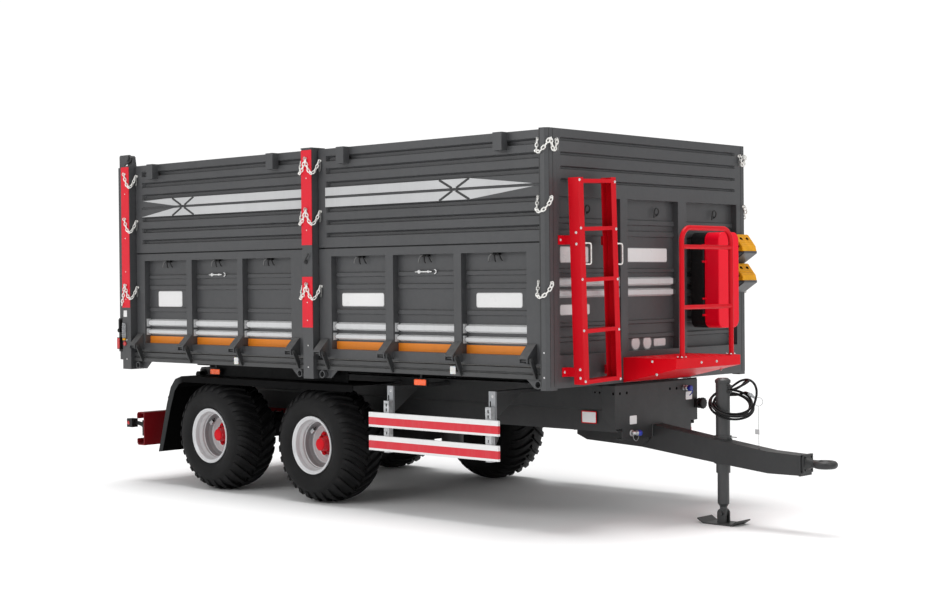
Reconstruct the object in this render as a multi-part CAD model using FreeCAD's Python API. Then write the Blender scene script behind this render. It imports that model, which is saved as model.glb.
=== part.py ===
import FreeCAD, Part
import math
import os

os.makedirs("parts", exist_ok=True)
V = FreeCAD.Vector

# ----------------------------------------------------------------------------
# Tandem-axle farm tipping trailer.  Millimetres.  +X towards the towing eye,
# +Y to the trailer's left, +Z up, z = 0 on the ground.
# ----------------------------------------------------------------------------
BOX_FRONT = 1660.0        # x of the load box's front face
BOX_REAR = -4670.0        # rear face of the rear posts, measured from BOX_FRONT
POST_OUT = 1150.0         # half width over the posts
PANEL_OUT = 1090.0        # half width over the side panels
PANEL_IN = 1020.0         # half width inside the load box
GROOVE_OUT = 1060.0       # floor of the pressed grooves
Z_TOP = 2635.0            # top edge of the sides
Z_POST_LOW = 935.0        # lower end of the posts
Z_SPLIT = 1900.0          # split between upper and lower sides
Z_DOOR_LOW = 1084.0       # lower edge of the lower sides
Z_FLOOR_TOP = 1076.0      # top of the floor plate
GAP = 8.0                 # gap between a side and its posts

REAR_POST = (-4670.0, -4555.0)
MID_POST = (-2380.0, -2270.0)
FRONT_POST = (-66.0, 0.0)

RAIL_Y = 430.0            # chassis beam centre
RAIL_TOP = 925.0
RAIL_LOW = 616.0

WHEEL_R = 435.0           # free radius of the tyre
TYRE_W = 425.0
WHEEL_Y = 930.0           # wheel centre plane
AXLES = (-2340.0, -3560.0)
RIM_SEAT_R = 199.0
RIM_FLANGE_R = 218.0

TIP_X, TIP_Z = -4450.0, 865.0      # tipping axis
CYL_X, TRUNNION_Z, BALL_Z = -1950.0, 620.0, 965.0
GATE_PIVOT = (-4616.0, 2698.0)     # tailgate axis (x, z)
DROP_PIN_Y, DROP_PIN_Z = 1166.0, 1128.0   # hinge line of the lower sides
HANG_PIN_Y, HANG_PIN_Z = 1044.0, 2602.0   # hinge line of the upper sides
JACK_X = 562.0
LADDER_LEAN = 2.05                # degrees the ladder leans sideways, its foot towards the middle
PEG_TURN, PEG_Z = 42.7, 830.0      # heading and height of the hose peg on the jack tube
HOSE_R = 8.0                       # radius of the oil hose
COIL_TILT = 33.0                   # the coil hangs with its near side down


def X(d):
    """x in the model from a distance in front of the box's front face."""
    return BOX_FRONT + d


# ------------------------------------------------------------------ helpers
def box(x0, x1, y0, y1, z0, z1):
    return Part.makeBox(x1 - x0, y1 - y0, z1 - z0, V(x0, y0, z0))


def bx(x0, x1, y0, y1, z0, z1):
    """box with x given from the front face of the load box"""
    return box(X(x0), X(x1), y0, y1, z0, z1)


def prism(points, direction):
    wire = Part.makePolygon(points + [points[0]])
    return Part.Face(wire).extrude(direction)


def prism_xz(pts, y0, y1):
    return prism([V(X(x), y0, z) for x, z in pts], V(0, y1 - y0, 0))


def prism_yz(pts, x0, x1):
    return prism([V(X(x0), y, z) for y, z in pts], V(x1 - x0, 0, 0))


def prism_xy(pts, z0, z1):
    return prism([V(X(x), y, z0) for x, y in pts], V(0, 0, z1 - z0))


def cyl_y(x, z, r, y0, y1):
    return Part.makeCylinder(r, y1 - y0, V(X(x), y0, z), V(0, 1, 0))


def cyl_x(y, z, r, x0, x1):
    return Part.makeCylinder(r, x1 - x0, V(X(x0), y, z), V(1, 0, 0))


def cyl_z(x, y, r, z0, z1):
    return Part.makeCylinder(r, z1 - z0, V(X(x), y, z0), V(0, 0, 1))


def fuse(*shapes):
    flat = []
    for s in shapes:
        if isinstance(s, (list, tuple)):
            flat.extend(s)
        else:
            flat.append(s)
    out = flat[0]
    if len(flat) > 1:
        out = out.multiFuse(flat[1:])
    return out.removeSplitter()


def cut(shape, *tools):
    flat = []
    for s in tools:
        if isinstance(s, (list, tuple)):
            flat.extend(s)
        else:
            flat.append(s)
    return shape.cut(flat)


def mir(shape):
    return shape.mirror(V(0, 0, 0), V(0, 1, 0))


def both(shape):
    return [shape, mir(shape)]


def save(name, *shapes):
    solids = []
    for s in shapes:
        if isinstance(s, (list, tuple)):
            for t in s:
                solids.extend(t.Solids)
        else:
            solids.extend(s.Solids)
    for s in solids:
        if not s.isValid() or s.Volume <= 0:
            print("INVALID", name, s.Volume)
    shape = solids[0] if len(solids) == 1 else Part.makeCompound(solids)
    shape.exportStep("parts/%s.step" % name)
    bb = shape.BoundBox
    print("%-26s solids %2d  vol %8.1f l  x %7.0f %7.0f  y %6.0f %6.0f  z %5.0f %5.0f" % (
        name, len(solids), shape.Volume / 1e6, bb.XMin, bb.XMax, bb.YMin, bb.YMax, bb.ZMin, bb.ZMax))


# ------------------------------------------------------------- chassis beams
def chassis_beam():
    """pressed C beam with a longitudinal fold, slanted at its rear end"""
    o, i = RAIL_Y + 40.0, RAIL_Y - 40.0
    t = 10.0
    zf = 765.0
    sec = [(i, RAIL_LOW), (o - 14, RAIL_LOW), (o - 14, zf - 8), (o, zf + 8), (o, RAIL_TOP), (i, RAIL_TOP),
           (i, RAIL_TOP - t), (o - t, RAIL_TOP - t), (o - t, zf + 12), (o - 14 - t, zf - 4),
           (o - 14 - t, RAIL_LOW + t), (i, RAIL_LOW + t)]
    beam = prism_yz(sec, -4520.0, 8.0)
    # the rear end is cut on a slant below
    beam = cut(beam, prism_xz([(-4530, 600), (-4180, 600), (-4400, 800), (-4530, 830)], 300, 560))
    # the tail stays inside the sweep of the tipping body
    beam = cut(beam, prism_xz([(-4530, 600), (TIP_X - 58, 600), (TIP_X - 58, TIP_Z + 38), (TIP_X - 36, TIP_Z + 60.1), (TIP_X - 36, 940), (-4530, 940)], 300, 560))
    # row of holes near the front
    for x in (-160.0, -120.0, -80.0):
        beam = cut(beam, cyl_y(x, 882.0, 8.0, 440.0, 500.0))
    # opening for the tipping hinge bush
    beam = cut(beam, cyl_y(TIP_X, TIP_Z, 33.0, 300.0, 560.0))
    return beam


save("chassis_rails", both(chassis_beam()))

CROSS_X = (-4330.0, -3960.0, -3180.0, -2720.0, -1500.0, -1000.0, -480.0)
cross = []
for x in CROSS_X:
    c = bx(x - 40, x + 40, -RAIL_Y + 29.5, RAIL_Y - 29.5, 690.0, 850.0)
    c = cut(c, bx(x - 32, x + 50, -RAIL_Y - 60, RAIL_Y + 60, 698.0, 842.0))
    web = 8.0
    # the ends reach the beams' webs
    cross.append(c)
save("cross_members", cross)

# --------------------------------------------------------------- head plate
def head_frame():
    """folded headstock under the front of the box with its stepped side"""
    front = prism_yz([(-480, 932), (480, 932), (480, 642), (400, 640), (400, 560), (74.8, 560), (74.8, 612.8),
                      (-74.8, 612.8), (-74.8, 560), (-400, 560), (-400, 640), (-480, 642)], 12.0, 20.0)
    side = prism_xz([(-90, 932), (20, 932), (20, 642), (12, 642), (-90, 720)], 472.0, 480.0)
    low = bx(-40, 20, 80, 400, 560, 568)
    return fuse(front, side, mir(side), low, mir(low))


save("headstock", head_frame())


# ------------------------------------------------------------------ drawbar
def drawbar():
    """box section beam, falling towards the eye, levelling out at its end"""
    side = [(-650, 612), (-650, 540), (-560, 505), (-74, 483), (545, 414), (950, 373), (1192, 375),
            (1192, 505), (950, 516), (545, 570), (20.6, 644), (20.6, 612)]
    body = prism_xz(side, -62.0, 62.0)
    inner = [(-640, 604), (-640, 548), (-560, 513), (-74, 491), (545, 422), (950, 381), (1186, 383),
             (1186, 497), (950, 508), (545, 562), (28.6, 635), (28.6, 604)]
    body = cut(body, prism_xz(inner, -54.0, 54.0))
    # sleeve for the jack
    body = fuse(body, cyl_z(JACK_X, 0, 62.0, 408.0, 574.0))
    body = cut(body, cyl_z(JACK_X, 0, 48.6, 300.0, 700.0))
    # flared cheeks where the beam meets the chassis
    cheek = prism_xz([(-560, 612), (-560, 520), (-74, 492), (-40, 505), (0, 540), (0, 612)], 62.0, 74.0)
    end = bx(1186, 1200, -70, 70, 372, 508)
    # gland of the hose and the stud of the lanyard
    gland = cyl_z(JACK_X - 60.1, 35.7, 10.0, 568.0, 592.0)
    stud = cyl_z(877.0, -49.5, 6.0, 520.0, 529.8)
    body = fuse(body, gland, stud)
    return fuse(body, cheek, mir(cheek), end)


save("drawbar", drawbar())


def towing_eye():
    flange = bx(1200, 1216, -60, 60, 392, 512)
    shank = cyl_x(0, 452, 26.0, 1216, 1302)
    shank = fuse(shank, Part.makeCone(44, 26, 30, V(X(1216), 0, 452), V(1, 0, 0)))
    ring = Part.makeTorus(55.0, 25.0, V(X(1340), 0, 452), V(0, 0, 1))
    ring = fuse(ring, cyl_z(1340, 0, 60.0, 437, 467))
    eye = fuse(flange, shank, ring)
    eye = cut(eye, cyl_z(1340, 0, 25.0, 400, 500))
    for sy in (-40, 40):
        for sz in (412, 492):
            eye = cut(eye, cyl_x(sy, sz, 8.5, 1190, 1220))
    return eye


save("towing_eye", towing_eye())


# --------------------------------------------------------------------- jack
def jack_housing():
    tube = cyl_z(JACK_X, 0, 48.0, 345.0, 962.0)
    tube = cut(tube, cyl_z(JACK_X, 0, 40.0, 335.0, 950.0))
    # cap with a bevelled top and two oil ports
    cap = fuse(cyl_z(JACK_X, 0, 53.0, 950.0, 968.0), Part.makeCone(53.0, 34.0, 14.0, V(X(JACK_X), 0, 968.0)))
    collar = cut(cyl_z(JACK_X, 0, 58.0, 580.0, 594.0), cyl_z(JACK_X, 0, 44.0, 570.0, 600.0))
    ports = []
    for z in (930.0, 892.0):
        p = fuse(cyl_y(0, 0, 12.0, -66.0, -42.0), cyl_y(0, 0, 8.0, -78.0, -60.0))
        p.translate(V(-X(0), 0, 0))
        p.rotate(V(0, 0, 0), V(0, 0, 1), 80.0)
        p.translate(V(X(JACK_X), 0, z))
        ports.append(p)
    # peg that carries the coiled hose, on the far side of the tube
    peg = fuse(cyl_y(0, 0, 9.0, 44.0, 150.0), cyl_y(0, 0, 15.0, 150.0, 156.0))
    peg.translate(V(-X(0), 0, 0))
    peg.rotate(V(0, 0, 0), V(0, 0, 1), PEG_TURN)
    peg.translate(V(X(JACK_X), 0, PEG_Z))
    # clamp plate on the beam
    plate = cut(bx(JACK_X - 70, JACK_X + 78, -61, 61, 574.3, 580.0), cyl_z(JACK_X, 0, 44.0, 560.0, 600.0))
    return fuse(tube, cap, collar, ports, peg)


save("jack_housing", jack_housing())


def jack_leg():
    leg = cyl_z(JACK_X, 0, 39.4, 138.0, 700.0)
    cone = Part.makeCone(25.0, 39.4, 22.0, V(X(JACK_X), 0, 116.0))
    # knuckle between the foot's two lugs
    knuckle = fuse(cyl_z(JACK_X, 0, 25.0, 92.0, 117.0), cyl_y(JACK_X, 70.0, 25.0, -16.0, 16.0), bx(JACK_X - 25, JACK_X + 25, -16, 16, 70, 96))
    pin = fuse(cyl_y(JACK_X, 70.0, 9.0, -40.0, 40.0), cyl_y(JACK_X, 70.0, 14.0, -40.0, -34.0), cyl_y(JACK_X, 70.0, 14.0, 34.0, 40.0))
    lugs = []
    for y in (-28.0, 16.3):
        lugs.append(fuse(cyl_y(JACK_X, 70.0, 34.0, y, y + 11.7), bx(JACK_X - 34, JACK_X + 34, y, y + 11.7, 4, 70)))
    foot = prism_xz([(JACK_X - 158, 30), (JACK_X - 110, 0), (JACK_X + 110, 0), (JACK_X + 158, 30),
                     (JACK_X + 154, 37), (JACK_X + 108, 9), (JACK_X - 108, 9), (JACK_X - 154, 37)], -85, 85)
    return fuse(leg, cone, knuckle, pin, lugs, foot)


save("jack_leg", jack_leg())


# -------------------------------------------------------------------- axles
def axle(x):
    z = WHEEL_R
    beam = bx(x - 50, x + 50, -690, 690, z - 50, z + 50)
    stub = cyl_y(x, z, 38.0, 690.0, 912.0)
    drum = fuse(cyl_y(x, z, 165.0, 700.0, 806.0), cyl_y(x, z, 178.0, 690.0, 704.0))
    lever = fuse(bx(x + 60, x + 84, 600, 612, z + 20, z + 170), cyl_y(x + 72, z + 40, 14.0, 560.0, 700.0))
    seat = bx(x - 60, x + 60, RAIL_Y - 45, RAIL_Y + 45, z + 50, z + 62)
    return fuse(beam, stub, mir(stub), drum, mir(drum), lever, mir(lever), seat, mir(seat))


save("axles", axle(AXLES[0]), axle(AXLES[1]))


def leaf_pack(x):
    """stack of arched leaves, stepped below, with a clamp at the axle"""
    z0 = WHEEL_R + 62.3
    half = (520.0, 430.0, 340.0, 250.0, 160.0)

    def arch(a, depth):
        return (x + a, z0 + 74.0 + 24.0 * (a / 520.0) ** 2 - depth)
    n = 10
    pts = [arch(-520.0 + 104.0 * k, 0.0) for k in range(n + 1)]
    for k in range(len(half)):
        nxt = half[k + 1] if k + 1 < len(half) else 60.0
        pts.append(arch(half[k], 12.0 * (k + 1)))
        pts.append(arch(nxt, 12.0 * (k + 1)))
    for k in reversed(range(len(half))):
        nxt = half[k + 1] if k + 1 < len(half) else 60.0
        pts.append(arch(-nxt, 12.0 * (k + 1)))
        pts.append(arch(-half[k], 12.0 * (k + 1)))
    pack = prism_xz(pts, RAIL_Y - 35, RAIL_Y + 35)
    plate = bx(x - 54, x + 54, RAIL_Y - 44, RAIL_Y + 44, z0, z0 + 18)
    cap = bx(x - 50, x + 50, RAIL_Y - 44, RAIL_Y + 44, z0 + 70, z0 + 84)
    bolts = [cyl_z(x + a, RAIL_Y + b, 8, z0 + 10, z0 + 92) for a in (-38, 38) for b in (-39.5, 39.5)]
    return fuse(pack, plate, cap, bolts)


save("leaf_springs", both(leaf_pack(AXLES[0])), both(leaf_pack(AXLES[1])))


def hangers():
    out = []
    zt = RAIL_LOW - 0.3
    for x in (AXLES[0] + 520, AXLES[1] - 520):
        cheek = prism_xz([(x - 70, zt), (x + 70, zt), (x + 36, 520), (x - 36, 520)], RAIL_Y - 48, RAIL_Y - 38)
        cheek2 = cheek.translated(V(0, 86, 0))
        pin = cyl_y(x, 536, 14.0, RAIL_Y - 52, RAIL_Y + 52)
        top = bx(x - 80, x + 80, RAIL_Y - 52, RAIL_Y + 38, zt - 8, zt)
        out.append(fuse(cheek, cheek2, pin, top))
    xm = 0.5 * (AXLES[0] + AXLES[1])
    # equaliser between the two springs
    eq = prism_xz([(xm - 70, zt), (xm + 70, zt), (xm + 36, 500), (xm - 36, 500)], RAIL_Y - 48, RAIL_Y - 38)
    eq2 = eq.translated(V(0, 86, 0))
    rocker = prism_xz([(xm - 86, 540), (xm + 86, 540), (xm + 86, 520), (xm + 20, 482), (xm - 20, 482), (xm - 86, 520)],
                      RAIL_Y - 38, RAIL_Y + 38)
    top = bx(xm - 90, xm + 90, RAIL_Y - 52, RAIL_Y + 38, zt - 8, zt)
    out.append(fuse(eq, eq2, rocker, top))
    res = []
    for s in out:
        res += both(s)
    return res


save("spring_hangers", hangers())


# ------------------------------------------------------------------- wheels
def revolve_y(pts, x, z, cy):
    """revolve a (y offset, r) outline about the wheel axis"""
    pl = [V(X(x), cy + a, z + r) for a, r in pts]
    wire = Part.makePolygon(pl + [pl[0]])
    return Part.Face(wire).revolve(V(X(x), cy, z), V(0, 1, 0), 360)


def tyre(x, s):
    """the tyre's outer envelope"""
    h = TYRE_W / 2
    R = WHEEL_R
    half = [(174, RIM_SEAT_R + 1), (176, RIM_SEAT_R + 22), (197, RIM_SEAT_R + 47), (h, 298), (h, 332), (h - 3, 362), (h - 11, 388),
            (184, 409), (150, R - 11), (110, R - 4), (60, R - 1)]
    pts = [(-a, r) for a, r in half] + [(0, R)] + list(reversed(half))
    return revolve_y(pts, x, WHEEL_R, s * WHEEL_Y)


def rim(x, s):
    """stepped rim with a dished disc, and the hub on it; s points outboard"""
    def P(pts):
        return revolve_y([(s * a, r) for a, r in pts], x, WHEEL_R, s * WHEEL_Y)
    f, b = RIM_FLANGE_R, RIM_SEAT_R
    barrel = P([(182, f), (188, f - 3), (188, f - 10), (174, 191), (140, 186), (118, 175), (98, 175), (92, 181), (60, 181), (-60, b - 20),
                (-100, b - 12), (-174, b - 10), (-188, b - 12), (-188, f - 3), (-182, f), (-176, f - 2), (-174, b), (-126, b),
                (-86, b - 10), (92, b - 10), (140, b), (174, b), (176, f - 2)])
    disc = P([(99, 184), (99, 171), (66, 163), (44, 150), (42, 141), (37, 137), (30, 133), (12, 120), (0, 104), (0, 0), (-12, 0), (-12, 108), (4, 128),
              (26, 145), (34, 156), (60, 172), (84, 182), (88, 184)])
    sleeve = P([(-80, 38.5), (-80, 62), (-10, 62), (-10, 38.5)])
    # squarish hub flange, hub and its cap
    plate = bx(x - 84, x + 84, -84, 84, WHEEL_R - 84, WHEEL_R + 84)
    plate = plate.makeFillet(26, [e for e in plate.Edges if abs(e.Vertexes[0].Point.y - e.Vertexes[1].Point.y) > 1])
    plate = plate.common(cyl_y(x, WHEEL_R, 104.0, s * (WHEEL_Y + 10) - 7.5, s * (WHEEL_Y + 10) + 7.5).translated(V(0, -s * (WHEEL_Y + 10), 0)))
    plate = plate.translated(V(0, s * (WHEEL_Y + 9), 0))
    hub = P([(0, 0), (0, 66), (16, 66), (24, 60), (34, 56), (34, 50), (92, 48), (98, 42), (100, 30), (100, 0)])
    wheel = fuse(barrel, disc, sleeve, plate, hub)
    return wheel.removeSplitter()


for label, x in (("front", AXLES[0]), ("rear", AXLES[1])):
    for side, s in (("right", -1), ("left", 1)):
        save("tyre_%s_%s" % (label, side), tyre(x, s))
        save("rim_%s_%s" % (label, side), rim(x, s))


# --------------------------------------------------------------- mudguards
def mudguard():
    t = 5.0
    path = [(-1880, 893), (-3907, 893), (-3990, 868), (-4050, 800), (-4105, 660), (-4180, 400), (-4222, 265)]
    up = [(-1880, 893 + t), (-3908, 893 + t), (-3994, 872), (-4055, 803), (-4110, 662), (-4185, 401.5), (-4227, 266)]
    sheet = prism_xz(path + list(reversed(up)), 700.0, 1114.7)
    lip_in = [(-4222, 265), (-4175, 280), (-4140, 385), (-4060, 640), (-4004, 776), (-3950, 832), (-3890, 850), (-1880, 850)]
    lip = prism_xz([(-1880, 893 + t)] + up[1:] + lip_in, 1115.0, 1120.0)
    return [sheet, lip]


save("mudguards", [q for p in mudguard() for q in both(p)])
STAYS = [q for x in (-2950.0, -2050.0, -3880.0) for q in both(bx(x - 20, x + 20, 470.3, 740.0, 870.0, 892.7))]


# --------------------------------------------------------------- side guard
rail_u = bx(-1722, -475, 1092, 1112, 610, 715)
rail_l = bx(-1722, -475, 1092, 1112, 442, 548)
save("guard_rails", both(rail_u), both(rail_l))


def guard_post(x):
    post = bx(x - 26, x + 26, 1052, 1091.7, 430, 800)
    post = cut(post, bx(x - 22, x + 22, 1040, 1086, 420, 810))
    for z in (470, 520, 570, 640, 690, 735, 770):
        post = cut(post, bx(x - 6, x + 6, 1080, 1100, z - 11, z + 11))
    upper = fuse(bx(x - 30, x + 30, 1036, 1051.7, 700, 905), bx(x - 30, x + 30, 470.3, 1051.7, 880, 905))
    gus = prism_yz([(1051, 700), (1036, 700), (760, 880), (1051, 880)], x - 4, x + 4)
    return post, fuse(upper, gus)


posts, brackets = [], []
for x in (-1561.0, -581.0):
    p, b = guard_post(x)
    posts += both(p)
    brackets += both(b)
save("guard_posts", posts)
save("outriggers", brackets + STAYS)


# ------------------------------------------------------------------- bumper
def bumper():
    """channel beam, open to the rear, with slanted lips and two stays"""
    y = 1100.0
    sec = [(-4452, 300), (-4452, 575), (-4536, 575), (-4552, 560), (-4552, 528), (-4544, 520), (-4544, 556), (-4532, 567), (-4460, 567),
           (-4460, 308), (-4532, 308), (-4544, 319), (-4544, 355), (-4552, 347), (-4552, 315), (-4536, 300)]
    c = prism_xz(sec, -y, y)
    plates = []
    for s in (-1, 1):
        p = prism_xz([(-4453, 540), (-4453, 335), (-4420, 335), (-4240, 600), (-4240, 757), (-4330, 757), (-4420, 640)], s * 440 - 6, s * 440 + 6)
        plates.append(p)
    return fuse(c, plates)


save("rear_bumper", bumper())


def rear_lamps():
    """lamp arms bolted in the channel's ends"""
    plate = bx(-4551.7, -4460.3, 1040, 1048, 372, 502)
    arm = prism_xz([(-4500, 412), (-4500, 470), (-4545, 486), (-4600, 492), (-4652, 492), (-4652, 462), (-4606, 462), (-4552, 452)], 1048.0, 1056.0)
    lamp = bx(-4712, -4640, 1030, 1090, 440, 512)
    return both(fuse(plate, arm, lamp))


save("rear_lamps", rear_lamps())


# ---------------------------------------------------------- tipping hinge
pin = fuse(cyl_y(TIP_X, TIP_Z, 28.0, 300.0, 540.0), cyl_y(TIP_X, TIP_Z, 33.0, 422.0, 470.0),
           cyl_y(TIP_X, TIP_Z, 44.0, 470.3, 478.0))
save("tip_pins", both(pin))

# ----------------------------------------------------- cylinder and cradle
def cradle():
    x = CYL_X
    front = bx(x + 150, x + 190, -445.7, 445.7, 626, 700)
    back = bx(x - 190, x - 150, -445.7, 445.7, 626, 700)
    cheek = bx(x - 151, x + 151, 118, 138, 570, 700)
    cheek = cut(cheek, cyl_y(x, TRUNNION_Z, 25.4, 100, 160))
    return fuse(front, back, cheek, mir(cheek))


save("cylinder_cradle", cradle())


def tube_z(r_out, r_in, z0, z1, floor):
    t = cyl_z(CYL_X, 0, r_out, z0, z1)
    return cut(t, cyl_z(CYL_X, 0, r_in, z0 + floor, z1 + 10))


def barrel():
    b = tube_z(86.0, 72.4, 340, 880, 8)
    ring = cut(cyl_z(CYL_X, 0, 98.0, TRUNNION_Z - 45, TRUNNION_Z + 45), cyl_z(CYL_X, 0, 80.0, 500, 760))
    tr = cyl_y(CYL_X, TRUNNION_Z, 25.0, 90.0, 142.0)
    port = cyl_x(0, 380, 16.0, CYL_X + 80, CYL_X + 120)
    return fuse(b, ring, tr, mir(tr), port)


save("cylinder_barrel", barrel())
save("cylinder_stage_1", tube_z(72.0, 60.4, 352, 886, 6))
save("cylinder_stage_2", tube_z(60.0, 48.4, 362, 892, 6))
save("cylinder_stage_3", tube_z(48.0, 37.4, 372, 898, 6))
save("cylinder_stage_4", fuse(cyl_z(CYL_X, 0, 37.0, 382, 904), cyl_z(CYL_X, 0, 20.0, 903, 955),
                              Part.makeSphere(31.0, V(X(CYL_X), 0, BALL_Z))))


# ------------------------------------------------------------ body: frame
def bed_frame():
    out = []
    long_l = bx(-4540, -30, RAIL_Y - 45, RAIL_Y + 45, 940, 999.7)
    # bushes over the tipping pins
    lug = prism_xz([(TIP_X - 45, 941), (TIP_X - 45, TIP_Z), (TIP_X - 32, TIP_Z - 32), (TIP_X, TIP_Z - 45), (TIP_X + 32, TIP_Z - 32),
                    (TIP_X + 45, TIP_Z), (TIP_X + 90, 941)], 342.0, 376.0)
    lug = cut(lug, cyl_y(TIP_X, TIP_Z, 28.4, 300, 420))
    yoke = bx(TIP_X - 45, TIP_X + 90, 342, 387, 940, 952)
    out += both(fuse(long_l, lug, yoke))
    beams = {}
    for x in (-4500, -4000, -3500, -3000, -2500, -1700, -1200, -700, -200):
        beams[x] = prism_yz([(-1084, 1067.7), (1084, 1067.7), (1084, 1030), (980, 1000), (-980, 1000), (-1084, 1030)], x - 30, x + 30)
    # valances over the wheels, slanted at the rear
    skirt = prism_xz([(-3668, 1012), (-3590, 905.5), (-2060, 905.5), (-2060, 1012)], 990.0, 996.0)
    out.append(fuse(beams.pop(-3500), beams.pop(-3000), beams.pop(-2500), skirt, mir(skirt)))
    out += list(beams.values())
    # cross member with the cup over the cylinder's ball head
    cup = fuse(bx(CYL_X - 80, CYL_X + 80, -1040, 1040, 1000, 1067.7), cyl_z(CYL_X, 0, 62.0, 950, 1001))
    out.append(cut(cup, cyl_z(CYL_X, 0, 52.0, 900, 1030)))
    return out


save("bed_frame", bed_frame())


def bed_floor():
    f = bx(-4660, -70.3, -1084, 1084, 1068.0, Z_FLOOR_TOP)
    for x0, x1 in (REAR_POST, MID_POST):
        for s in both(bx(x0 - 0.3, x1 + 0.3, 1021.7, 1100, 1060, 1090)):
            f = cut(f, s)
    return f


save("bed_floor", bed_floor())


def floor_rail():
    """pressed edge rail with a groove, below the lower sides"""
    sec = [(1084.3, 1075.7), (1108, 1075.7), (1108, 1046), (1100, 1042), (1100, 1036), (1114, 1030), (1114, 1002), (1084.3, 1002)]
    rail = prism_yz(sec, REAR_POST[1] + 0.3, FRONT_POST[0] - 0.3)
    return cut(rail, bx(MID_POST[0] - 0.3, MID_POST[1] + 0.3, 1000, 1200, 900, 1200))


def post_gusset(x, d):
    """plate with a pivot tube, under the rail beside a post"""
    k = 50 if x < -200 else 43.7
    pts = [(x - d * k, 1001.7), (x + d * 130, 1001.7), (x + d * 60, 942), (x - d * k, 942)]
    plate = prism_xz(pts, 1078.0, 1090.0)
    tube = cyl_y(x, 970.0, 29.0, 1040.0, 1128.0)
    return cut(fuse(plate, tube), cyl_y(x, 970.0, 21.0, 1030.0, 1140.0))


def drop_hinge(x):
    """lug on the rail with the pin of a lower side"""
    lug = prism_yz([(1114.3, 1006), (1114.3, 1062), (DROP_PIN_Y - 18, DROP_PIN_Z + 8), (DROP_PIN_Y - 6, DROP_PIN_Z + 18),
                    (DROP_PIN_Y + 14, DROP_PIN_Z + 12), (DROP_PIN_Y + 17, DROP_PIN_Z - 6), (1128, 1006)], x + 50, x + 62)
    return fuse(lug, cyl_x(DROP_PIN_Y, DROP_PIN_Z, 10.0, x - 44, x + 66))


DROP_HINGES = (-4490.0, -3835.0, -3190.0, -2520.0, -2196.0, -1520.0, -855.0, -185.0)
save("floor_rails", both(floor_rail()))
save("post_gussets", [q for x, d in ((-4490.0, 1), (-2450.0, -1), (-2200.0, 1), (-110.0, -1)) for q in both(post_gusset(x, d))])
save("drop_hinges", [q for x in DROP_HINGES for q in both(drop_hinge(x))])


# ------------------------------------------------------------ body: posts
def front_post():
    """folded corner post with a chamfered outer edge"""
    return prism_xy([(-66, 1150), (-22, 1150), (0, 1128), (0, 1060), (-66, 1060)], Z_POST_LOW, Z_TOP)


def middle_post():
    p = prism_xy([(MID_POST[0], 1150), (MID_POST[1], 1150), (MID_POST[1], 1022), (MID_POST[0], 1022)], Z_POST_LOW, Z_TOP)
    pin = cyl_x(HANG_PIN_Y, HANG_PIN_Z, 9.0, MID_POST[0] - 45, MID_POST[1] + 45)
    cap = bx(MID_POST[0] - 4, MID_POST[1] + 4, 1018, 1154, Z_TOP, Z_TOP + 10)
    return fuse(p, pin, cap)


def rear_post():
    p = prism_xy([(REAR_POST[0], 1150), (REAR_POST[1], 1150), (REAR_POST[1], 1022), (REAR_POST[0], 1022)], Z_POST_LOW, Z_TOP)
    pin = cyl_x(HANG_PIN_Y, HANG_PIN_Z, 9.0, REAR_POST[1] - 5, REAR_POST[1] + 45)
    gx, gz = GATE_PIVOT
    lug = prism_xz([(gx - 40, Z_TOP - 2), (gx - 26, gz + 14), (gx - 12, gz + 26), (gx + 12, gz + 26), (gx + 26, gz + 14), (gx + 40, Z_TOP - 2)], 1058.0, 1094.0)
    gpin = fuse(cyl_y(gx, gz, 16.0, 1060.0, 1136.0), cyl_y(gx, gz, 26.0, 1128.0, 1136.0))
    return fuse(p, pin, lug, gpin)


save("side_posts", both(front_post()), both(middle_post()), both(rear_post()))


def strips():
    """raised cover strips on the posts"""
    out = []
    out.append(bx(REAR_POST[0] + 4, REAR_POST[1] - 4, 1150.0, 1154.0, 1450, 2625))
    out.append(bx(MID_POST[0] - 2, MID_POST[1] + 2, 1150.0, 1154.0, 1925, 2628))
    out.append(bx(MID_POST[0] - 2, MID_POST[1] + 2, 1150.0, 1154.0, 1314, 1690))
    r = []
    for s in out:
        r += both(s)
    return r


save("post_strips", strips())

# the pressed bands of the upper sides: (z0, z1) of each groove
GROOVES = ((1978, 2014), (2070, 2106), (2162, 2202), (2266, 2284), (2346, 2390), (2445, 2488), (2538, 2578))


def ribbed_outline(z0, z1, out, deep, inner, slope=12.0, grooves=GROOVES):
    pts = [(inner, z0), (out, z0)]
    for a, b in grooves:
        if a <= z0 or b >= z1:
            continue
        d = deep if (b - a) > 25 else out - 9.0
        s = slope if (b - a) > 25 else 3.0
        pts += [(out, a), (d, a + s * 0.55), (d, b - s), (out, b)]
    pts += [(out, z1), (inner, z1)]
    return pts


def upper_side(x0, x1):
    door = prism_yz(ribbed_outline(Z_SPLIT + 4, Z_TOP - 3, PANEL_OUT, GROOVE_OUT, PANEL_IN), x0, x1)
    # the grooves stop short of the ends, with slanted run-outs
    for xa, xb, xc in ((x0, x0 + 82, x0 + 96), (x1, x1 - 24, x1 - 36)):
        door = door.fuse(prism_xy([(xa, 1034), (xa, PANEL_OUT), (xb, PANEL_OUT), (xc, GROOVE_OUT - 1), (xc, 1034)], Z_SPLIT + 20, Z_TOP - 3))
    for xs, xe in ((x0 - 1, x0 + 40), (x1 - 40, x1 + 1)):
        door = cut(door, cyl_x(HANG_PIN_Y, HANG_PIN_Z, 9.4, xs, xe))
    socks = []
    for x in ((-4275.0, -2755.0) if x0 < -3000 else (-1965.0, -430.0)):
        s = bx(x - 40, x + 40, 1089.0, 1148.0, 2510, Z_TOP - 3)
        s = cut(s, bx(x - 34, x + 34, 1096.0, 1142.0, 2500, Z_TOP + 10))
        socks.append(s)
    return fuse(door, socks)


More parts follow.
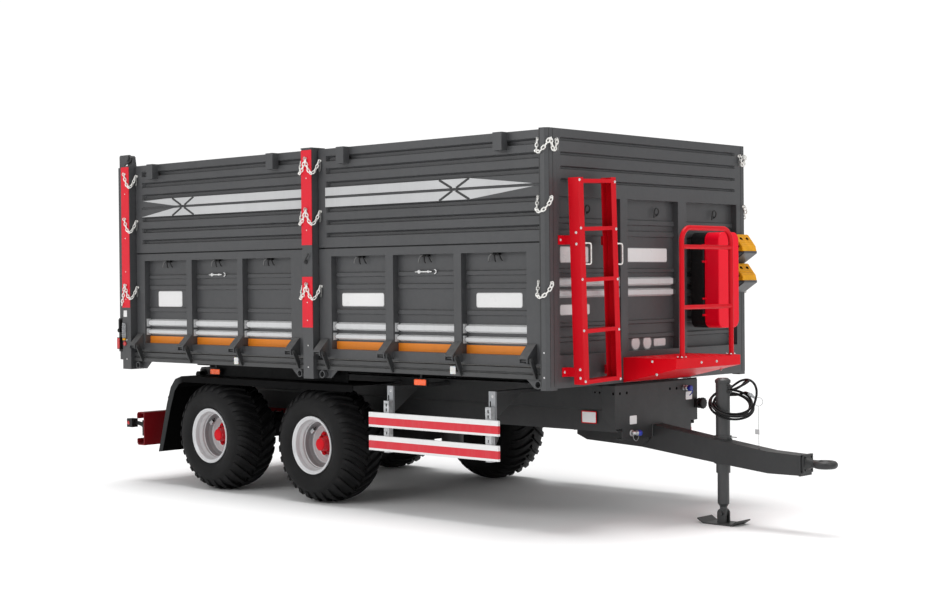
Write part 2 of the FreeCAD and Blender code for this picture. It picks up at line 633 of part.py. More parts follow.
def lower_side(x0, x1, bays, hinges):
    zt = Z_SPLIT - 6
    sheet = bx(x0, x1, PANEL_IN, 1035, Z_DOOR_LOW, zt - 8)
    parts = [sheet]
    # frame; its top edge falls towards the inside to swing clear
    parts.append(prism_yz([(1034, 1838), (PANEL_OUT, 1838), (PANEL_OUT, zt), (1034, zt - 7), (PANEL_IN, zt - 9), (PANEL_IN, zt - 20), (1034, zt - 20)], x0, x1))
    parts.append(bx(x0, x1, 1034, PANEL_OUT, Z_DOOR_LOW, 1155))
    edges = [x0] + [e for b in bays for e in b] + [x1]
    for k in range(0, len(edges), 2):
        parts.append(bx(edges[k], edges[k + 1], 1034, PANEL_OUT, Z_DOOR_LOW, 1839))
    # pressed ridges of the bays, pointed at their ends
    for xa, xb in bays:
        for a, b, d in ((1684, 1722, 12), (1594, 1636, 12), (1412, 1452, 12), (1295, 1354, 26), (1225, 1273, 26)):
            o = 1035 + d
            s = 0.45 * d
            m = 0.5 * (a + b)
            k = 0.5 * (b - a) * 0.8
            ridge = prism_yz([(1034, a), (o, a + s), (o, b - s), (1034, b)], xa - 5, xb + 5)
            e = 4.0
            plan = prism_xz([(xa + e, m), (xa + e + k, a - 1), (xb - e - k, a - 1), (xb - e, m), (xb - e - k, b + 1), (xa + e + k, b + 1)], 1030, 1100)
            parts.append(ridge.common(plan))
    # hinge brackets: two cheeks and a sloping cover, open below
    for x in hinges:
        for xa, xb in ((x - 38, x - 30), (x + 30, x + 38)):
            ck = prism_yz([(1089, 1228), (1098, 1228), (DROP_PIN_Y + 20, DROP_PIN_Z + 14), (DROP_PIN_Y + 20, DROP_PIN_Z - 18),
                           (DROP_PIN_Y - 18, DROP_PIN_Z - 18), (1089, 1098)], xa, xb)
            parts.append(ck)
        parts.append(prism_yz([(1089, 1222), (1089, 1232), (1100, 1232), (DROP_PIN_Y + 20, DROP_PIN_Z + 18), (DROP_PIN_Y + 20, DROP_PIN_Z + 8)],
                              x - 38, x + 38))
    door = fuse(parts)
    for x in hinges:
        door = cut(door, cyl_x(DROP_PIN_Y, DROP_PIN_Z, 10.4, x - 48, x + 44))
    return door


def right_and_left(name, shape):
    save(name + "_left", shape)
    save(name + "_right", mir(shape))


RX0, RX1 = REAR_POST[1] + GAP, MID_POST[0] - GAP
FX0, FX1 = MID_POST[1] + GAP, FRONT_POST[0] - GAP
right_and_left("upper_side_rear", upper_side(RX0, RX1))
right_and_left("upper_side_front", upper_side(FX0, FX1))
right_and_left("lower_side_rear", lower_side(RX0, RX1, ((-4435, -3870), (-3800, -3222), (-3157, -2580)), DROP_HINGES[:4]))
right_and_left("lower_side_front", lower_side(FX0, FX1, ((-2130, -1560), (-1482, -890), (-820, -232)), DROP_HINGES[4:]))


# -------------------------------------------------------- body: bulkhead
def bulkhead():
    """fixed front wall; x is the outward direction"""
    w = 1059.7
    def pz(z0, z1, y0, y1, xa, xb):
        return bx(xa, xb, y0, y1, z0, z1)
    parts = [pz(1000, Z_TOP, -w, w, -70, -52)]
    parts.append(pz(1001, 1160, -w, w, -53, 0))
    parts.append(pz(1000.3, 1060, -w, w, -70, 0))
    parts.append(pz(946, 1001, -w, w, -28, 0))
    parts.append(pz(2196, 2236, -w, w, -53, 0))
    for y0, y1 in ((-w, -1030), (-380, -300), (290, 390), (1030, w)):
        parts.append(pz(1000, 2236, y0, y1, -53, 0))
    for a, b, d in ((2020, 2062, 12), (1940, 1985, 12), (1692, 1728, 12), (1606, 1666, 24), (1532, 1588, 24), (1340, 1372, 12), (1240, 1276, 12)):
        s = 0.5 * d
        parts.append(prism([V(X(-53), -w, a), V(X(-52 + d), -w, a + s), V(X(-52 + d), -w, b - s), V(X(-53), -w, b)], V(0, 2 * w, 0)))
    # pressed upper part
    pts = [(-70, 2236), (0, 2236)]
    for a, b in ((2290, 2312), (2372, 2394), (2462, 2486), (2556, 2580)):
        pts += [(0, a), (-18, a + 6), (-18, b - 8), (0, b)]
    pts += [(0, Z_TOP), (-70, Z_TOP)]
    parts.append(prism_xz(pts, -w, w))
    for ya, yb, yc in ((w, 1012, 1000), (-w, -1012, -1000)):
        parts.append(prism_xy([(-60, ya), (0, ya), (0, yb), (-19, yc), (-60, yc)], 2237, Z_TOP))
    pin = cyl_x(HANG_PIN_Y, HANG_PIN_Z, 9.0, -110, -60)
    return fuse(parts, both(pin))


save("front_bulkhead", bulkhead())


# ------------------------------------------------------------------ ladder
def ladder():
    y0, y1 = -1000.0, -605.0
    x0, x1 = 52.0, 137.0
    z0, z1 = 975.0, 2320.0
    w = 52.0
    def rail(a, b, face):
        r = bx(x0, x1, a, b, z0, z1)
        r = cut(r, bx(x0 + 6, x1 - 6, a + (6 if face > 0 else -1), b - (-1 if face > 0 else 6), z0 - 1, z1 + 1))
        return r
    parts = [rail(y0, y0 + w, 1), rail(y1 - w, y1, -1)]
    for z in (2296, 1985, 1653, 1320, 990):
        parts.append(bx(x0 + 6, x1, y0 + 4, y1 - 4, z - 13, z + 13))
    mounts = []
    for z in (1910.0, 1050.0):
        for ya, yb in ((y0 - 60, y0 + 5), (y1 - 5, y1 + 40)):
            lean = (z1 - z) * math.tan(math.radians(LADDER_LEAN))
            ya, yb = ya + lean, yb + lean
            mounts.append(fuse(bx(0.3, 6.3, ya, yb, z - 30, z + 30), bx(0.3, x0 + 20, (yb - 8 if ya < -800 else ya), (yb if ya < -800 else ya + 8), z - 30, z + 30)))
    steps = fuse(parts)
    steps.rotate(V(0, (y0 + y1) / 2, z1), V(1, 0, 0), LADDER_LEAN)
    return fuse(steps, mounts)


save("ladder", ladder())


def platform():
    y0, y1 = -360.0, 400.0
    t = 6.0
    prof = [(0.3, 1120), (440, 1120), (440, 1052), (0.3, 950)]
    inner = [(6.3, 1114), (434, 1114), (434, 1057), (6.3, 957)]
    tray = prism_xz(prof, y0, y1)
    tray = cut(tray, prism_xz(inner, y0 + t, y1 - t))
    # grip holes in the step
    for i in range(5):
        for j in range(8):
            tray = cut(tray, cyl_z(60 + i * 80, y0 + 60 + j * 91, 14, 1110, 1125))
    return tray


save("platform", platform())


def tube_path(points, r, bend):
    """round tube through points with tangent arcs at the corners"""
    pts = [V(*p) for p in points]
    edges = []
    prev = pts[0]
    for i in range(1, len(pts) - 1):
        a = (pts[i - 1] - pts[i]).normalize()
        b = (pts[i + 1] - pts[i]).normalize()
        ang = a.getAngle(b)
        d = bend / math.tan(ang / 2)
        p1 = pts[i] + a * d
        p2 = pts[i] + b * d
        bis = (a + b).normalize()
        c = pts[i] + bis * (bend / math.sin(ang / 2))
        mid = c - bis * bend
        edges.append(Part.LineSegment(prev, p1).toShape())
        edges.append(Part.Arc(p1, mid, p2).toShape())
        prev = p2
    edges.append(Part.LineSegment(prev, pts[-1]).toShape())
    wire = Part.Wire(edges)
    d = (pts[1] - pts[0]).normalize()
    prof = Part.Wire([Part.Circle(pts[0], d, r).toShape()])
    return wire.makePipeShell([prof], True, True)


def guardrail():
    ya, yb = -265.0, 317.0
    x = 422.0
    hoop = tube_path([(X(x), ya, 1120.3), (X(x), ya, 2010 - 17), (X(x), yb, 2010 - 17), (X(x), yb, 1120.3)], 17.0, 95.0)
    bars = [cyl_y(x, 1865, 15.0, ya + 2, yb - 2), cyl_y(x, 1460, 15.0, ya + 2, yb - 2)]
    feet = [fuse(bx(x - 30, x + 18, y - 30, y + 30, 1120.3, 1127)) for y in (ya, yb)]
    return fuse(hoop, bars, feet)


save("guardrail", guardrail())

# --------------------------------------------------- extinguisher cabinet
def rounded_box(x0, x1, y0, y1, z0, z1, r):
    b = bx(x0, x1, y0, y1, z0, z1)
    es = [e for e in b.Edges if abs(e.Vertexes[0].Point.x - e.Vertexes[1].Point.x) > 1]
    return b.makeFillet(r, es)


def ext_base():
    o = rounded_box(0.3, 112, 444, 700, 1300, 1980, 60)
    i = rounded_box(8, 130, 452, 692, 1308, 1972, 52)
    c = cut(o, i)
    hinge = fuse(cyl_z(112, 434, 9, 1400, 1500), cyl_z(112, 434, 9, 1780, 1880), bx(90, 108, 434, 446, 1400, 1500), bx(90, 108, 434, 446, 1780, 1880))
    pins = fuse(cyl_z(112, 434, 5, 1380, 1520), cyl_z(112, 434, 5, 1760, 1900))
    return fuse(c, hinge, pins)


def ext_lid():
    o = rounded_box(118, 236, 444, 700, 1300, 1980, 60)
    i = rounded_box(100, 228, 452, 692, 1308, 1972, 52)
    c = cut(o, i)
    front = [e for e in c.Edges if abs(e.BoundBox.XMin - X(236)) < 0.1 and abs(e.BoundBox.XMax - X(236)) < 0.1]
    try:
        c = c.makeFillet(6, front)
    except Exception:
        pass
    kn = []
    for za, zb in ((1384, 1399), (1501, 1516), (1764, 1779), (1881, 1896)):
        k = fuse(cyl_z(112, 434, 9, za, zb), bx(112, 128, 428, 446, za, zb))
        k = cut(k, cyl_z(112, 434, 5.4, za - 1, zb + 1))
        kn.append(k)
    latch = bx(124, 150, 699.5, 710, 1610, 1670)
    return fuse(c, kn, latch)


save("extinguisher_base", ext_base())
save("extinguisher_lid", ext_lid())


# ------------------------------------------------------------------ chocks
CHOCK_Z = (1850.0, 1635.0)         # undersides of the two chocks
save("wheel_chocks", [prism_xz([(14, z), (14, z + 125), (40, z + 125), (110, z + 38), (118, z)], 936, 1114) for z in CHOCK_Z])


def chock_holder(z):
    back = bx(0.3, 7, 940, 1110, z - 88, z + 100)
    shelf = bx(0.3, 124, 940, 1110, z - 8, z - 0.3)
    apron = prism_xz([(6, z - 80), (6, z - 88), (14, z - 88), (124, z - 16), (124, z - 6)], 940, 1110)
    return fuse(back, shelf, apron)


save("chock_holders", [chock_holder(z) for z in CHOCK_Z])


# ---------------------------------------------------------------- tailgate
def tailgate():
    """one-piece rear door hung from the top, with ears at its corners"""
    w = 1127.0
    xo, xi = -4740.0, -4676.0     # outer and inner face
    zl, zh = 1012.0, 2625.0
    zt = Z_SPLIT
    def b(y0, y1, z0, z1, d0=0.0, d1=None):
        return bx(xo + d0, xi if d1 is None else d1, y0, y1, z0, z1)
    parts = [bx(xi - 15, xi, -w, w, zl, zh)]
    parts.append(b(-w, w, zt - 60, zt + 60))
    parts.append(b(-w, w, zl, 1120))
    parts.append(b(-w, w, zh - 60, zh))
    for y in (-w, -560 - 40, -40, 560 - 40, w - 80):
        parts.append(b(y, y + 80, zl, zt))
    for y in (-w, w - 80):
        parts.append(b(y, y + 80, zt, zh))
    for a, c, d in ((1684, 1722, 12), (1594, 1636, 12), (1412, 1452, 12), (1295, 1354, 26), (1225, 1273, 26)):
        s = 0.6 * d
        x1 = xi - 15
        parts.append(prism([V(X(x1 + 1), -w + 20, a), V(X(x1 - d), -w + 20, a + s), V(X(x1 - d), -w + 20, c - s), V(X(x1 + 1), -w + 20, c)], V(0, 2 * w - 40, 0)))
    pts = [(xi - 10, zt + 50), (xo + 6, zt + 50)]
    for a, c in GROOVES:
        pts += [(xo + 6, a), (xo + 34, a + 6), (xo + 34, c - 12), (xo + 6, c)] if c - a > 25 else [(xo + 6, a), (xo + 14, a + 3), (xo + 14, c - 3), (xo + 6, c)]
    pts += [(xo + 6, zh - 50), (xi - 10, zh - 50)]
    parts.append(prism_xz(pts, -w + 70, w - 70))
    gx, gz = GATE_PIVOT
    ear = prism_xz([(xo, 2524), (xi, 2524), (xi, 2640), (gx - 24, 2656), (gx + 8, 2662), (gx + 30, 2680), (gx + 32, gz + 10), (gx + 14, gz + 32), (xo + 10, gz + 32), (xo, gz + 20)],
                   1100.0, 1114.0)
    ear = cut(ear, cyl_y(gx, gz, 16.4, 1090, 1130))
    parts += [ear, mir(ear)]
    gate = fuse(parts)
    return gate


save("tailgate", tailgate())


def gate_lamps():
    """side brackets with lamps and catch levers beside the tailgate"""
    plate = bx(-4734, -4670.0, 1136, 1142, 1080, 1360)
    lamp = bx(-4730, -4690, 1142, 1166, 1100, 1200)
    lever = fuse(bx(-4722, -4700, 1142, 1156, 1240, 1350), cyl_y(-4711, 1258, 16, 1142, 1164))
    return both(fuse(plate, lamp, lever))


MARKERS = [s for x in (-3580.0, -1275.0) for s in both(fuse(bx(x - 62, x + 62, 1010, 1034, 915, 965), bx(x - 10, x + 10, 1018, 1026, 964, 999.8), bx(x - 14, x + 14, 1018, 1083.7, 995.8, 999.8)))]
save("body_lamps", gate_lamps() + MARKERS)


# ------------------------------------------------------------- oil hose
def along(right, away, up):
    """point given from the jack's axis: to the right, away and up, with the coil's heading"""
    t = math.radians(PEG_TURN)
    return V(X(JACK_X) + right * math.cos(t) - away * math.sin(t), right * math.sin(t) + away * math.cos(t), up)


def route_tube(points, r):
    """round tube along straight runs with tangent arcs as large as the runs allow"""
    pts = [V(*p) for p in points]
    edges, radii = [], []
    prev = pts[0]
    length = 0.0
    for i in range(1, len(pts) - 1):
        a = pts[i - 1] - pts[i]
        b = pts[i + 1] - pts[i]
        la, lb = a.Length, b.Length
        a.normalize()
        b.normalize()
        turn = math.pi - a.getAngle(b)
        d = 0.45 * min(la, lb)
        rad = d / math.tan(turn / 2)
        radii.append(round(rad, 1))
        p1 = pts[i] + a * d
        p2 = pts[i] + b * d
        bis = a + b
        bis.normalize()
        c = pts[i] + bis * (rad / math.cos(turn / 2))
        mid = c - bis * rad
        edges.append(Part.LineSegment(prev, p1).toShape())
        edges.append(Part.Arc(p1, mid, p2).toShape())
        prev = p2
    edges.append(Part.LineSegment(prev, pts[-1]).toShape())
    wire = Part.Wire(edges)
    prof = Part.Wire([Part.Circle(pts[0], (pts[1] - pts[0]).normalize(), r).toShape()])
    tube = wire.makePipeShell([prof], True, True)
    print("route length %.1f  radii %s  volume ratio %.4f" % (wire.Length, radii, tube.Volume / (math.pi * r * r * wire.Length)))
    return tube


def coil():
    """outer shape of the turns around the jack tube, with the small loop over them"""
    ring = Part.makeTorus(138.0, 24.0, V(0, 0, 0), V(0, 0, 1))
    ring.rotate(V(0, 0, 0), V(1, 0, 0), COIL_TILT)
    ring.translate(V(62.0, 0, 803.0))
    loop = Part.makeTorus(64.0, 11.0, V(0, 0, 0), V(0, 0, 1))
    loop.rotate(V(0, 0, 0), V(0, 1, 0), -30.0)
    loop.translate(V(118.0, 0, 937.0))
    a, b = V(128.0, 97.0, 866.0), V(112.0, 62.0, 934.0)
    link = Part.makeCylinder(10.0, (b - a).Length, a, b - a)
    out = fuse(ring, loop, link)
    out.rotate(V(0, 0, 0), V(0, 0, 1), PEG_TURN)
    out.translate(V(X(JACK_X), 0, 0))
    return out


save("hose_coil", coil())
HOSE_ROUTE = [(-20.0, 67.0, 592.0), (-20.0, 67.0, 634.0), (-23.0, 68.0, 676.0), (-30.0, 74.0, 720.0), (-34.0, 80.0, 763.0),
              (-34.0, 88.0, 806.0), (-28.0, 91.0, 846.0)]
save("hose_lead", route_tube([tuple(along(*p)) for p in HOSE_ROUTE], HOSE_R))


def coupler():
    """quick coupler on the hose's end"""
    a, b = along(178.0, 30.0, 872.0), along(222.0, 2.0, 842.0)
    d = (b - a).normalize()
    body = Part.makeCylinder(11.0, 34.0, a, d)
    nut = Part.makeCylinder(14.0, 14.0, a + d * 12.0, d)
    nose = Part.makeCylinder(8.0, 59.0, a, d)
    return fuse(body, nut, nose)


save("hose_coupler", coupler())
LANYARD = [(198.0, -250.0, 530.0), (201.0, -223.0, 571.0), (207.0, -190.0, 613.0), (212.0, -154.0, 653.0), (219.0, -115.0, 691.0),
           (225.0, -75.0, 727.0), (232.0, -36.0, 763.0), (238.0, 0.0, 790.0)]
save("lanyard", route_tube([tuple(along(*p)) for p in LANYARD], 1.4))
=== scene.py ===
import math
import random

import bpy
from mathutils import Matrix, Vector


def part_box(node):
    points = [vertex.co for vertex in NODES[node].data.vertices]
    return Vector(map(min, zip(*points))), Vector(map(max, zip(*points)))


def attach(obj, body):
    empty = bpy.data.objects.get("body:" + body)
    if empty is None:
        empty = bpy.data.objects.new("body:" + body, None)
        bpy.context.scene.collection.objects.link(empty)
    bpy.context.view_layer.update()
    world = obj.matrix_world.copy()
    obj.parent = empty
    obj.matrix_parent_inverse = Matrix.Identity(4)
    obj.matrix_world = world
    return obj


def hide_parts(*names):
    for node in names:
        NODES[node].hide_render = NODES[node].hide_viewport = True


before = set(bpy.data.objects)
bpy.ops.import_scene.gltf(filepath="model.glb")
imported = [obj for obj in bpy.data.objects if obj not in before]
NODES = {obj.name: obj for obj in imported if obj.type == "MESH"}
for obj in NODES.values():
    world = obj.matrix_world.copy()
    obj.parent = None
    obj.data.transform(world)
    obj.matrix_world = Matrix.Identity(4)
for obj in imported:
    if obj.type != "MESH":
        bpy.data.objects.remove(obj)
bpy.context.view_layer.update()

SCENE = bpy.context.scene
RNG = random.Random(20417)

# ---------------------------------------------------------------- camera
def make_camera():
    a, e, r = 0.7453004843, 0.0124325334, -0.0089531795
    fwd = Vector((-math.sin(a) * math.cos(e), math.cos(a) * math.cos(e), -math.sin(e)))
    right = Vector((math.cos(a), math.sin(a), 0.0))
    up = right.cross(fwd)
    cx = right * math.cos(r) + up * math.sin(r)
    cy = -right * math.sin(r) + up * math.cos(r)
    cz = -fwd
    cam = bpy.data.objects.new("camera", bpy.data.cameras.new("camera"))
    SCENE.collection.objects.link(cam)
    m = Matrix((cx, cy, cz)).transposed().to_4x4()
    m.translation = Vector((8.326, -9.064, 1.655))
    cam.matrix_world = m
    cam.data.sensor_width = 36.0
    cam.data.lens = 60.885
    cam.data.clip_end = 200.0
    SCENE.camera = cam


make_camera()


# ------------------------------------------------------------- materials
def lin(r, g, b):
    out = []
    for c in (r, g, b):
        c /= 255.0
        out.append(c / 12.92 if c <= 0.04045 else ((c + 0.055) / 1.055) ** 2.4)
    return (*out, 1.0)


class Tree:
    """small helper that writes a material's nodes"""

    def __init__(self, name):
        self.mat = bpy.data.materials.new(name)
        self.mat.use_nodes = True
        self.nt = self.mat.node_tree
        self.nt.nodes.clear()
        self.out = self.node("ShaderNodeOutputMaterial")
        self.bsdf = self.node("ShaderNodeBsdfPrincipled")
        self.nt.links.new(self.bsdf.outputs[0], self.out.inputs[0])
        self.obj = self.node("ShaderNodeTexCoord").outputs["Object"]
        self._sep = None

    def node(self, kind, **props):
        n = self.nt.nodes.new(kind)
        for k, v in props.items():
            setattr(n, k, v)
        return n

    def put(self, value, socket):
        if isinstance(value, bpy.types.NodeSocket):
            self.nt.links.new(value, socket)
        else:
            socket.default_value = value

    def math(self, op, a, b=0.5, c=None, clamp=False):
        n = self.node("ShaderNodeMath", operation=op, use_clamp=clamp)
        self.put(a, n.inputs[0])
        self.put(b, n.inputs[1])
        if c is not None:
            self.put(c, n.inputs[2])
        return n.outputs[0]

    def xyz(self):
        if self._sep is None:
            s = self.node("ShaderNodeSeparateXYZ")
            self.put(self.obj, s.inputs[0])
            self._sep = (s.outputs[0], s.outputs[1], s.outputs[2])
        return self._sep

    def stretched(self, sx, sy, sz):
        m = self.node("ShaderNodeMapping")
        self.put(self.obj, m.inputs["Vector"])
        m.inputs["Scale"].default_value = (sx, sy, sz)
        return m.outputs[0]

    def noise(self, scale, detail=3.0, rough=0.5, vec=None, distort=0.0):
        n = self.node("ShaderNodeTexNoise")
        self.put(vec if vec is not None else self.obj, n.inputs["Vector"])
        n.inputs["Scale"].default_value = scale
        n.inputs["Detail"].default_value = detail
        n.inputs["Roughness"].default_value = rough
        n.inputs["Distortion"].default_value = distort
        return n.outputs["Fac"]

    def span(self, v, a, b, c=0.0, d=1.0):
        n = self.node("ShaderNodeMapRange", clamp=True)
        self.put(v, n.inputs["Value"])
        for k, x in (("From Min", a), ("From Max", b), ("To Min", c), ("To Max", d)):
            self.put(x, n.inputs[k])
        return n.outputs[0]

    def mix(self, f, a, b):
        n = self.node("ShaderNodeMix", data_type="RGBA")
        self.put(f, n.inputs[0])
        self.put(a, n.inputs[6])
        self.put(b, n.inputs[7])
        return n.outputs[2]

    def blend(self, f, a, b):
        n = self.node("ShaderNodeMix", data_type="FLOAT")
        self.put(f, n.inputs[0])
        self.put(a, n.inputs[2])
        self.put(b, n.inputs[3])
        return n.outputs[0]

    def between(self, v, lo, hi, soft=0.0006):
        a = self.span(v, lo - soft, lo + soft)
        b = self.span(v, hi - soft, hi + soft, 1.0, 0.0)
        return self.math("MULTIPLY", a, b)

    def any_of(self, masks):
        out = masks[0]
        for m in masks[1:]:
            out = self.math("MAXIMUM", out, m)
        return out

    def all_of(self, masks):
        out = masks[0]
        for m in masks[1:]:
            out = self.math("MULTIPLY", out, m)
        return out


def paint(name, colour, rough=0.42, metal=0.0, coat=0.0, mottle=0.10, dust=0.16, wear_and_highlight=0.35, edge=0.0035,
          peel=0.10, spec=0.5, streak=0.10, wear_and_highlight_to=None, zones=(), round_edges=True, coat_rough=0.12):
    """sprayed or powder-coated steel: uneven film, fine texture, dust on ledges, rubbed edges that are lightened partly
    as a painted highlight.
    zones are (mask builder, colour, roughness, metal) laid over the base coat."""
    t = Tree(name)
    nt = t.nt
    c = Vector(colour[:3])
    dark = (*(c * (1.0 - mottle)), 1.0)
    light = (*(c * (1.0 + mottle)), 1.0)
    big = t.noise(1.15, 4.0, 0.55)
    col = t.mix(t.span(big, 0.32, 0.68), dark, light)
    rgh = t.blend(t.span(t.noise(7.0, 5.0, 0.6), 0.3, 0.7), rough - 0.06, rough + 0.07)
    met = None
    for build, zc, zr, zm in zones:
        m = build(t)
        z = Vector(zc[:3])
        zcol = t.mix(t.span(big, 0.32, 0.68), (*(z * (1.0 - 0.6 * mottle)), 1.0), (*(z * (1.0 + 0.6 * mottle)), 1.0))
        col = t.mix(m, col, zcol)
        rgh = t.blend(m, rgh, zr)
        if zm or met is not None:
            met = t.blend(m, met if met is not None else metal, zm)
    # rain streaks, stretched down the sheet
    st = t.noise(1.0, 5.0, 0.62, t.stretched(22.0, 22.0, 1.1))
    col = t.mix(t.math("MULTIPLY", t.span(st, 0.50, 0.78), streak), col, (*(c * 0.45), 1.0))
    # dust: more of it on faces that look up
    geo = t.node("ShaderNodeNewGeometry")
    sn = t.node("ShaderNodeSeparateXYZ")
    t.put(geo.outputs["Normal"], sn.inputs[0])
    upw = t.span(sn.outputs[2], 0.25, 0.95)
    cloud = t.span(t.noise(26.0, 6.0, 0.65), 0.38, 0.72)
    dmask = t.math("MULTIPLY", t.math("ADD", t.math("MULTIPLY", upw, 0.85), 0.12), t.math("MULTIPLY", cloud, dust * 2.0), clamp=True)
    col = t.mix(dmask, col, lin(148, 142, 132))
    # edges made lighter, using the difference between the rounded and the true normal: partly rubbed paint, partly a
    # painted highlight
    normal = None
    if round_edges:
        bv = t.node("ShaderNodeBevel", samples=4)
        bv.inputs["Radius"].default_value = edge
        dot = t.node("ShaderNodeVectorMath", operation="DOT_PRODUCT")
        t.put(bv.outputs[0], dot.inputs[0])
        t.put(geo.outputs["Normal"], dot.inputs[1])
        edge_rub_and_highlight = t.span(dot.outputs["Value"], 0.985, 0.80)
        chip = t.span(t.noise(60.0, 5.0, 0.7), 0.46, 0.66)
        target = wear_and_highlight_to if wear_and_highlight_to is not None else (*(c * 1.7 + Vector((0.02, 0.02, 0.02))), 1.0)
        col = t.mix(t.math("MULTIPLY", t.math("MULTIPLY", edge_rub_and_highlight, t.math("ADD", t.math("MULTIPLY", chip, 0.7), 0.3)), wear_and_highlight), col, target)
        normal = bv.outputs[0]
    rgh = t.math("ADD", rgh, t.math("MULTIPLY", dmask, 0.35), clamp=True)
    fine = t.noise(420.0, 2.0, 0.5)
    wave = t.noise(9.0, 3.0, 0.5)
    height = t.math("ADD", t.math("MULTIPLY", fine, 0.00022), t.math("MULTIPLY", wave, 0.0012))
    b = t.node("ShaderNodeBump")
    b.inputs["Strength"].default_value = peel * 5.0
    b.inputs["Distance"].default_value = 1.0
    t.put(height, b.inputs["Height"])
    if normal is not None:
        t.put(normal, b.inputs["Normal"])
    t.put(b.outputs[0], t.bsdf.inputs["Normal"])
    t.put(col, t.bsdf.inputs["Base Color"])
    t.put(rgh, t.bsdf.inputs["Roughness"])
    t.put(met if met is not None else metal, t.bsdf.inputs["Metallic"])
    t.bsdf.inputs["Specular IOR Level"].default_value = spec
    t.bsdf.inputs["Coat Weight"].default_value = coat
    t.bsdf.inputs["Coat Roughness"].default_value = coat_rough
    return t.mat


def zinc(name, colour=lin(186, 188, 190), rough=0.40, metal=0.72, scale=55.0, dirt=0.35):
    """galvanised steel: spangle and a little dirt"""
    t = Tree(name)
    v = t.node("ShaderNodeTexVoronoi", feature="F1")
    t.put(t.obj, v.inputs["Vector"])
    v.inputs["Scale"].default_value = scale
    sep = t.node("ShaderNodeSeparateColor")
    t.put(v.outputs["Color"], sep.inputs[0])
    c = Vector(colour[:3])
    col = t.mix(sep.outputs[0], (*(c * 0.80), 1.0), (*(c * 1.12), 1.0))
    grime = t.span(t.noise(14.0, 6.0, 0.7), 0.48, 0.72)
    col = t.mix(t.math("MULTIPLY", grime, dirt), col, lin(92, 90, 86))
    t.put(col, t.bsdf.inputs["Base Color"])
    t.put(t.blend(sep.outputs[1], rough - 0.08, rough + 0.12), t.bsdf.inputs["Roughness"])
    t.bsdf.inputs["Metallic"].default_value = metal
    b = t.node("ShaderNodeBump")
    b.inputs["Strength"].default_value = 0.35
    b.inputs["Distance"].default_value = 0.0008
    t.put(t.noise(130.0, 4.0, 0.6), b.inputs["Height"])
    bv = t.node("ShaderNodeBevel", samples=3)
    bv.inputs["Radius"].default_value = 0.0012
    t.put(bv.outputs[0], b.inputs["Normal"])
    t.put(b.outputs[0], t.bsdf.inputs["Normal"])
    return t.mat


def rubber(name, colour=lin(30, 30, 31), rough=0.66, dust=0.35, grain=0.5, rings=False):
    t = Tree(name)
    c = Vector(colour[:3])
    big = t.span(t.noise(5.0, 5.0, 0.6), 0.3, 0.7)
    col = t.mix(big, (*(c * 0.78), 1.0), (*(c * 1.25), 1.0))
    pat = t.span(t.noise(16.0, 7.0, 0.72), 0.46, 0.74)
    col = t.mix(t.math("MULTIPLY", pat, dust), col, lin(84, 81, 77))
    t.put(col, t.bsdf.inputs["Base Color"])
    t.put(t.blend(pat, rough - 0.06, min(rough + 0.2, 1.0)), t.bsdf.inputs["Roughness"])
    t.bsdf.inputs["Specular IOR Level"].default_value = 0.16
    h = t.math("MULTIPLY", t.noise(240.0, 4.0, 0.6), 0.0006 * grain)
    if rings:
        x, y, z = t.xyz()
        dx = t.math("SUBTRACT", t.math("ABSOLUTE", t.math("ADD", x, 1.29)), 0.61)
        dz = t.math("SUBTRACT", z, 0.435)
        rr = t.math("SQRT", t.math("ADD", t.math("MULTIPLY", dx, dx), t.math("MULTIPLY", dz, dz)))
        w = t.math("MULTIPLY", t.math("SINE", t.math("MULTIPLY", rr, 1250.0)), 0.00022)
        band = t.any_of([t.between(rr, 0.240, 0.266, 0.002), t.between(rr, 0.340, 0.350, 0.002)])
        h = t.math("ADD", h, t.math("MULTIPLY", w, band))
    b = t.node("ShaderNodeBump")
    b.inputs["Strength"].default_value = 1.0
    b.inputs["Distance"].default_value = 1.0
    t.put(h, b.inputs["Height"])
    bv = t.node("ShaderNodeBevel", samples=3)
    bv.inputs["Radius"].default_value = 0.002
    t.put(bv.outputs[0], b.inputs["Normal"])
    t.put(b.outputs[0], t.bsdf.inputs["Normal"])
    return t.mat


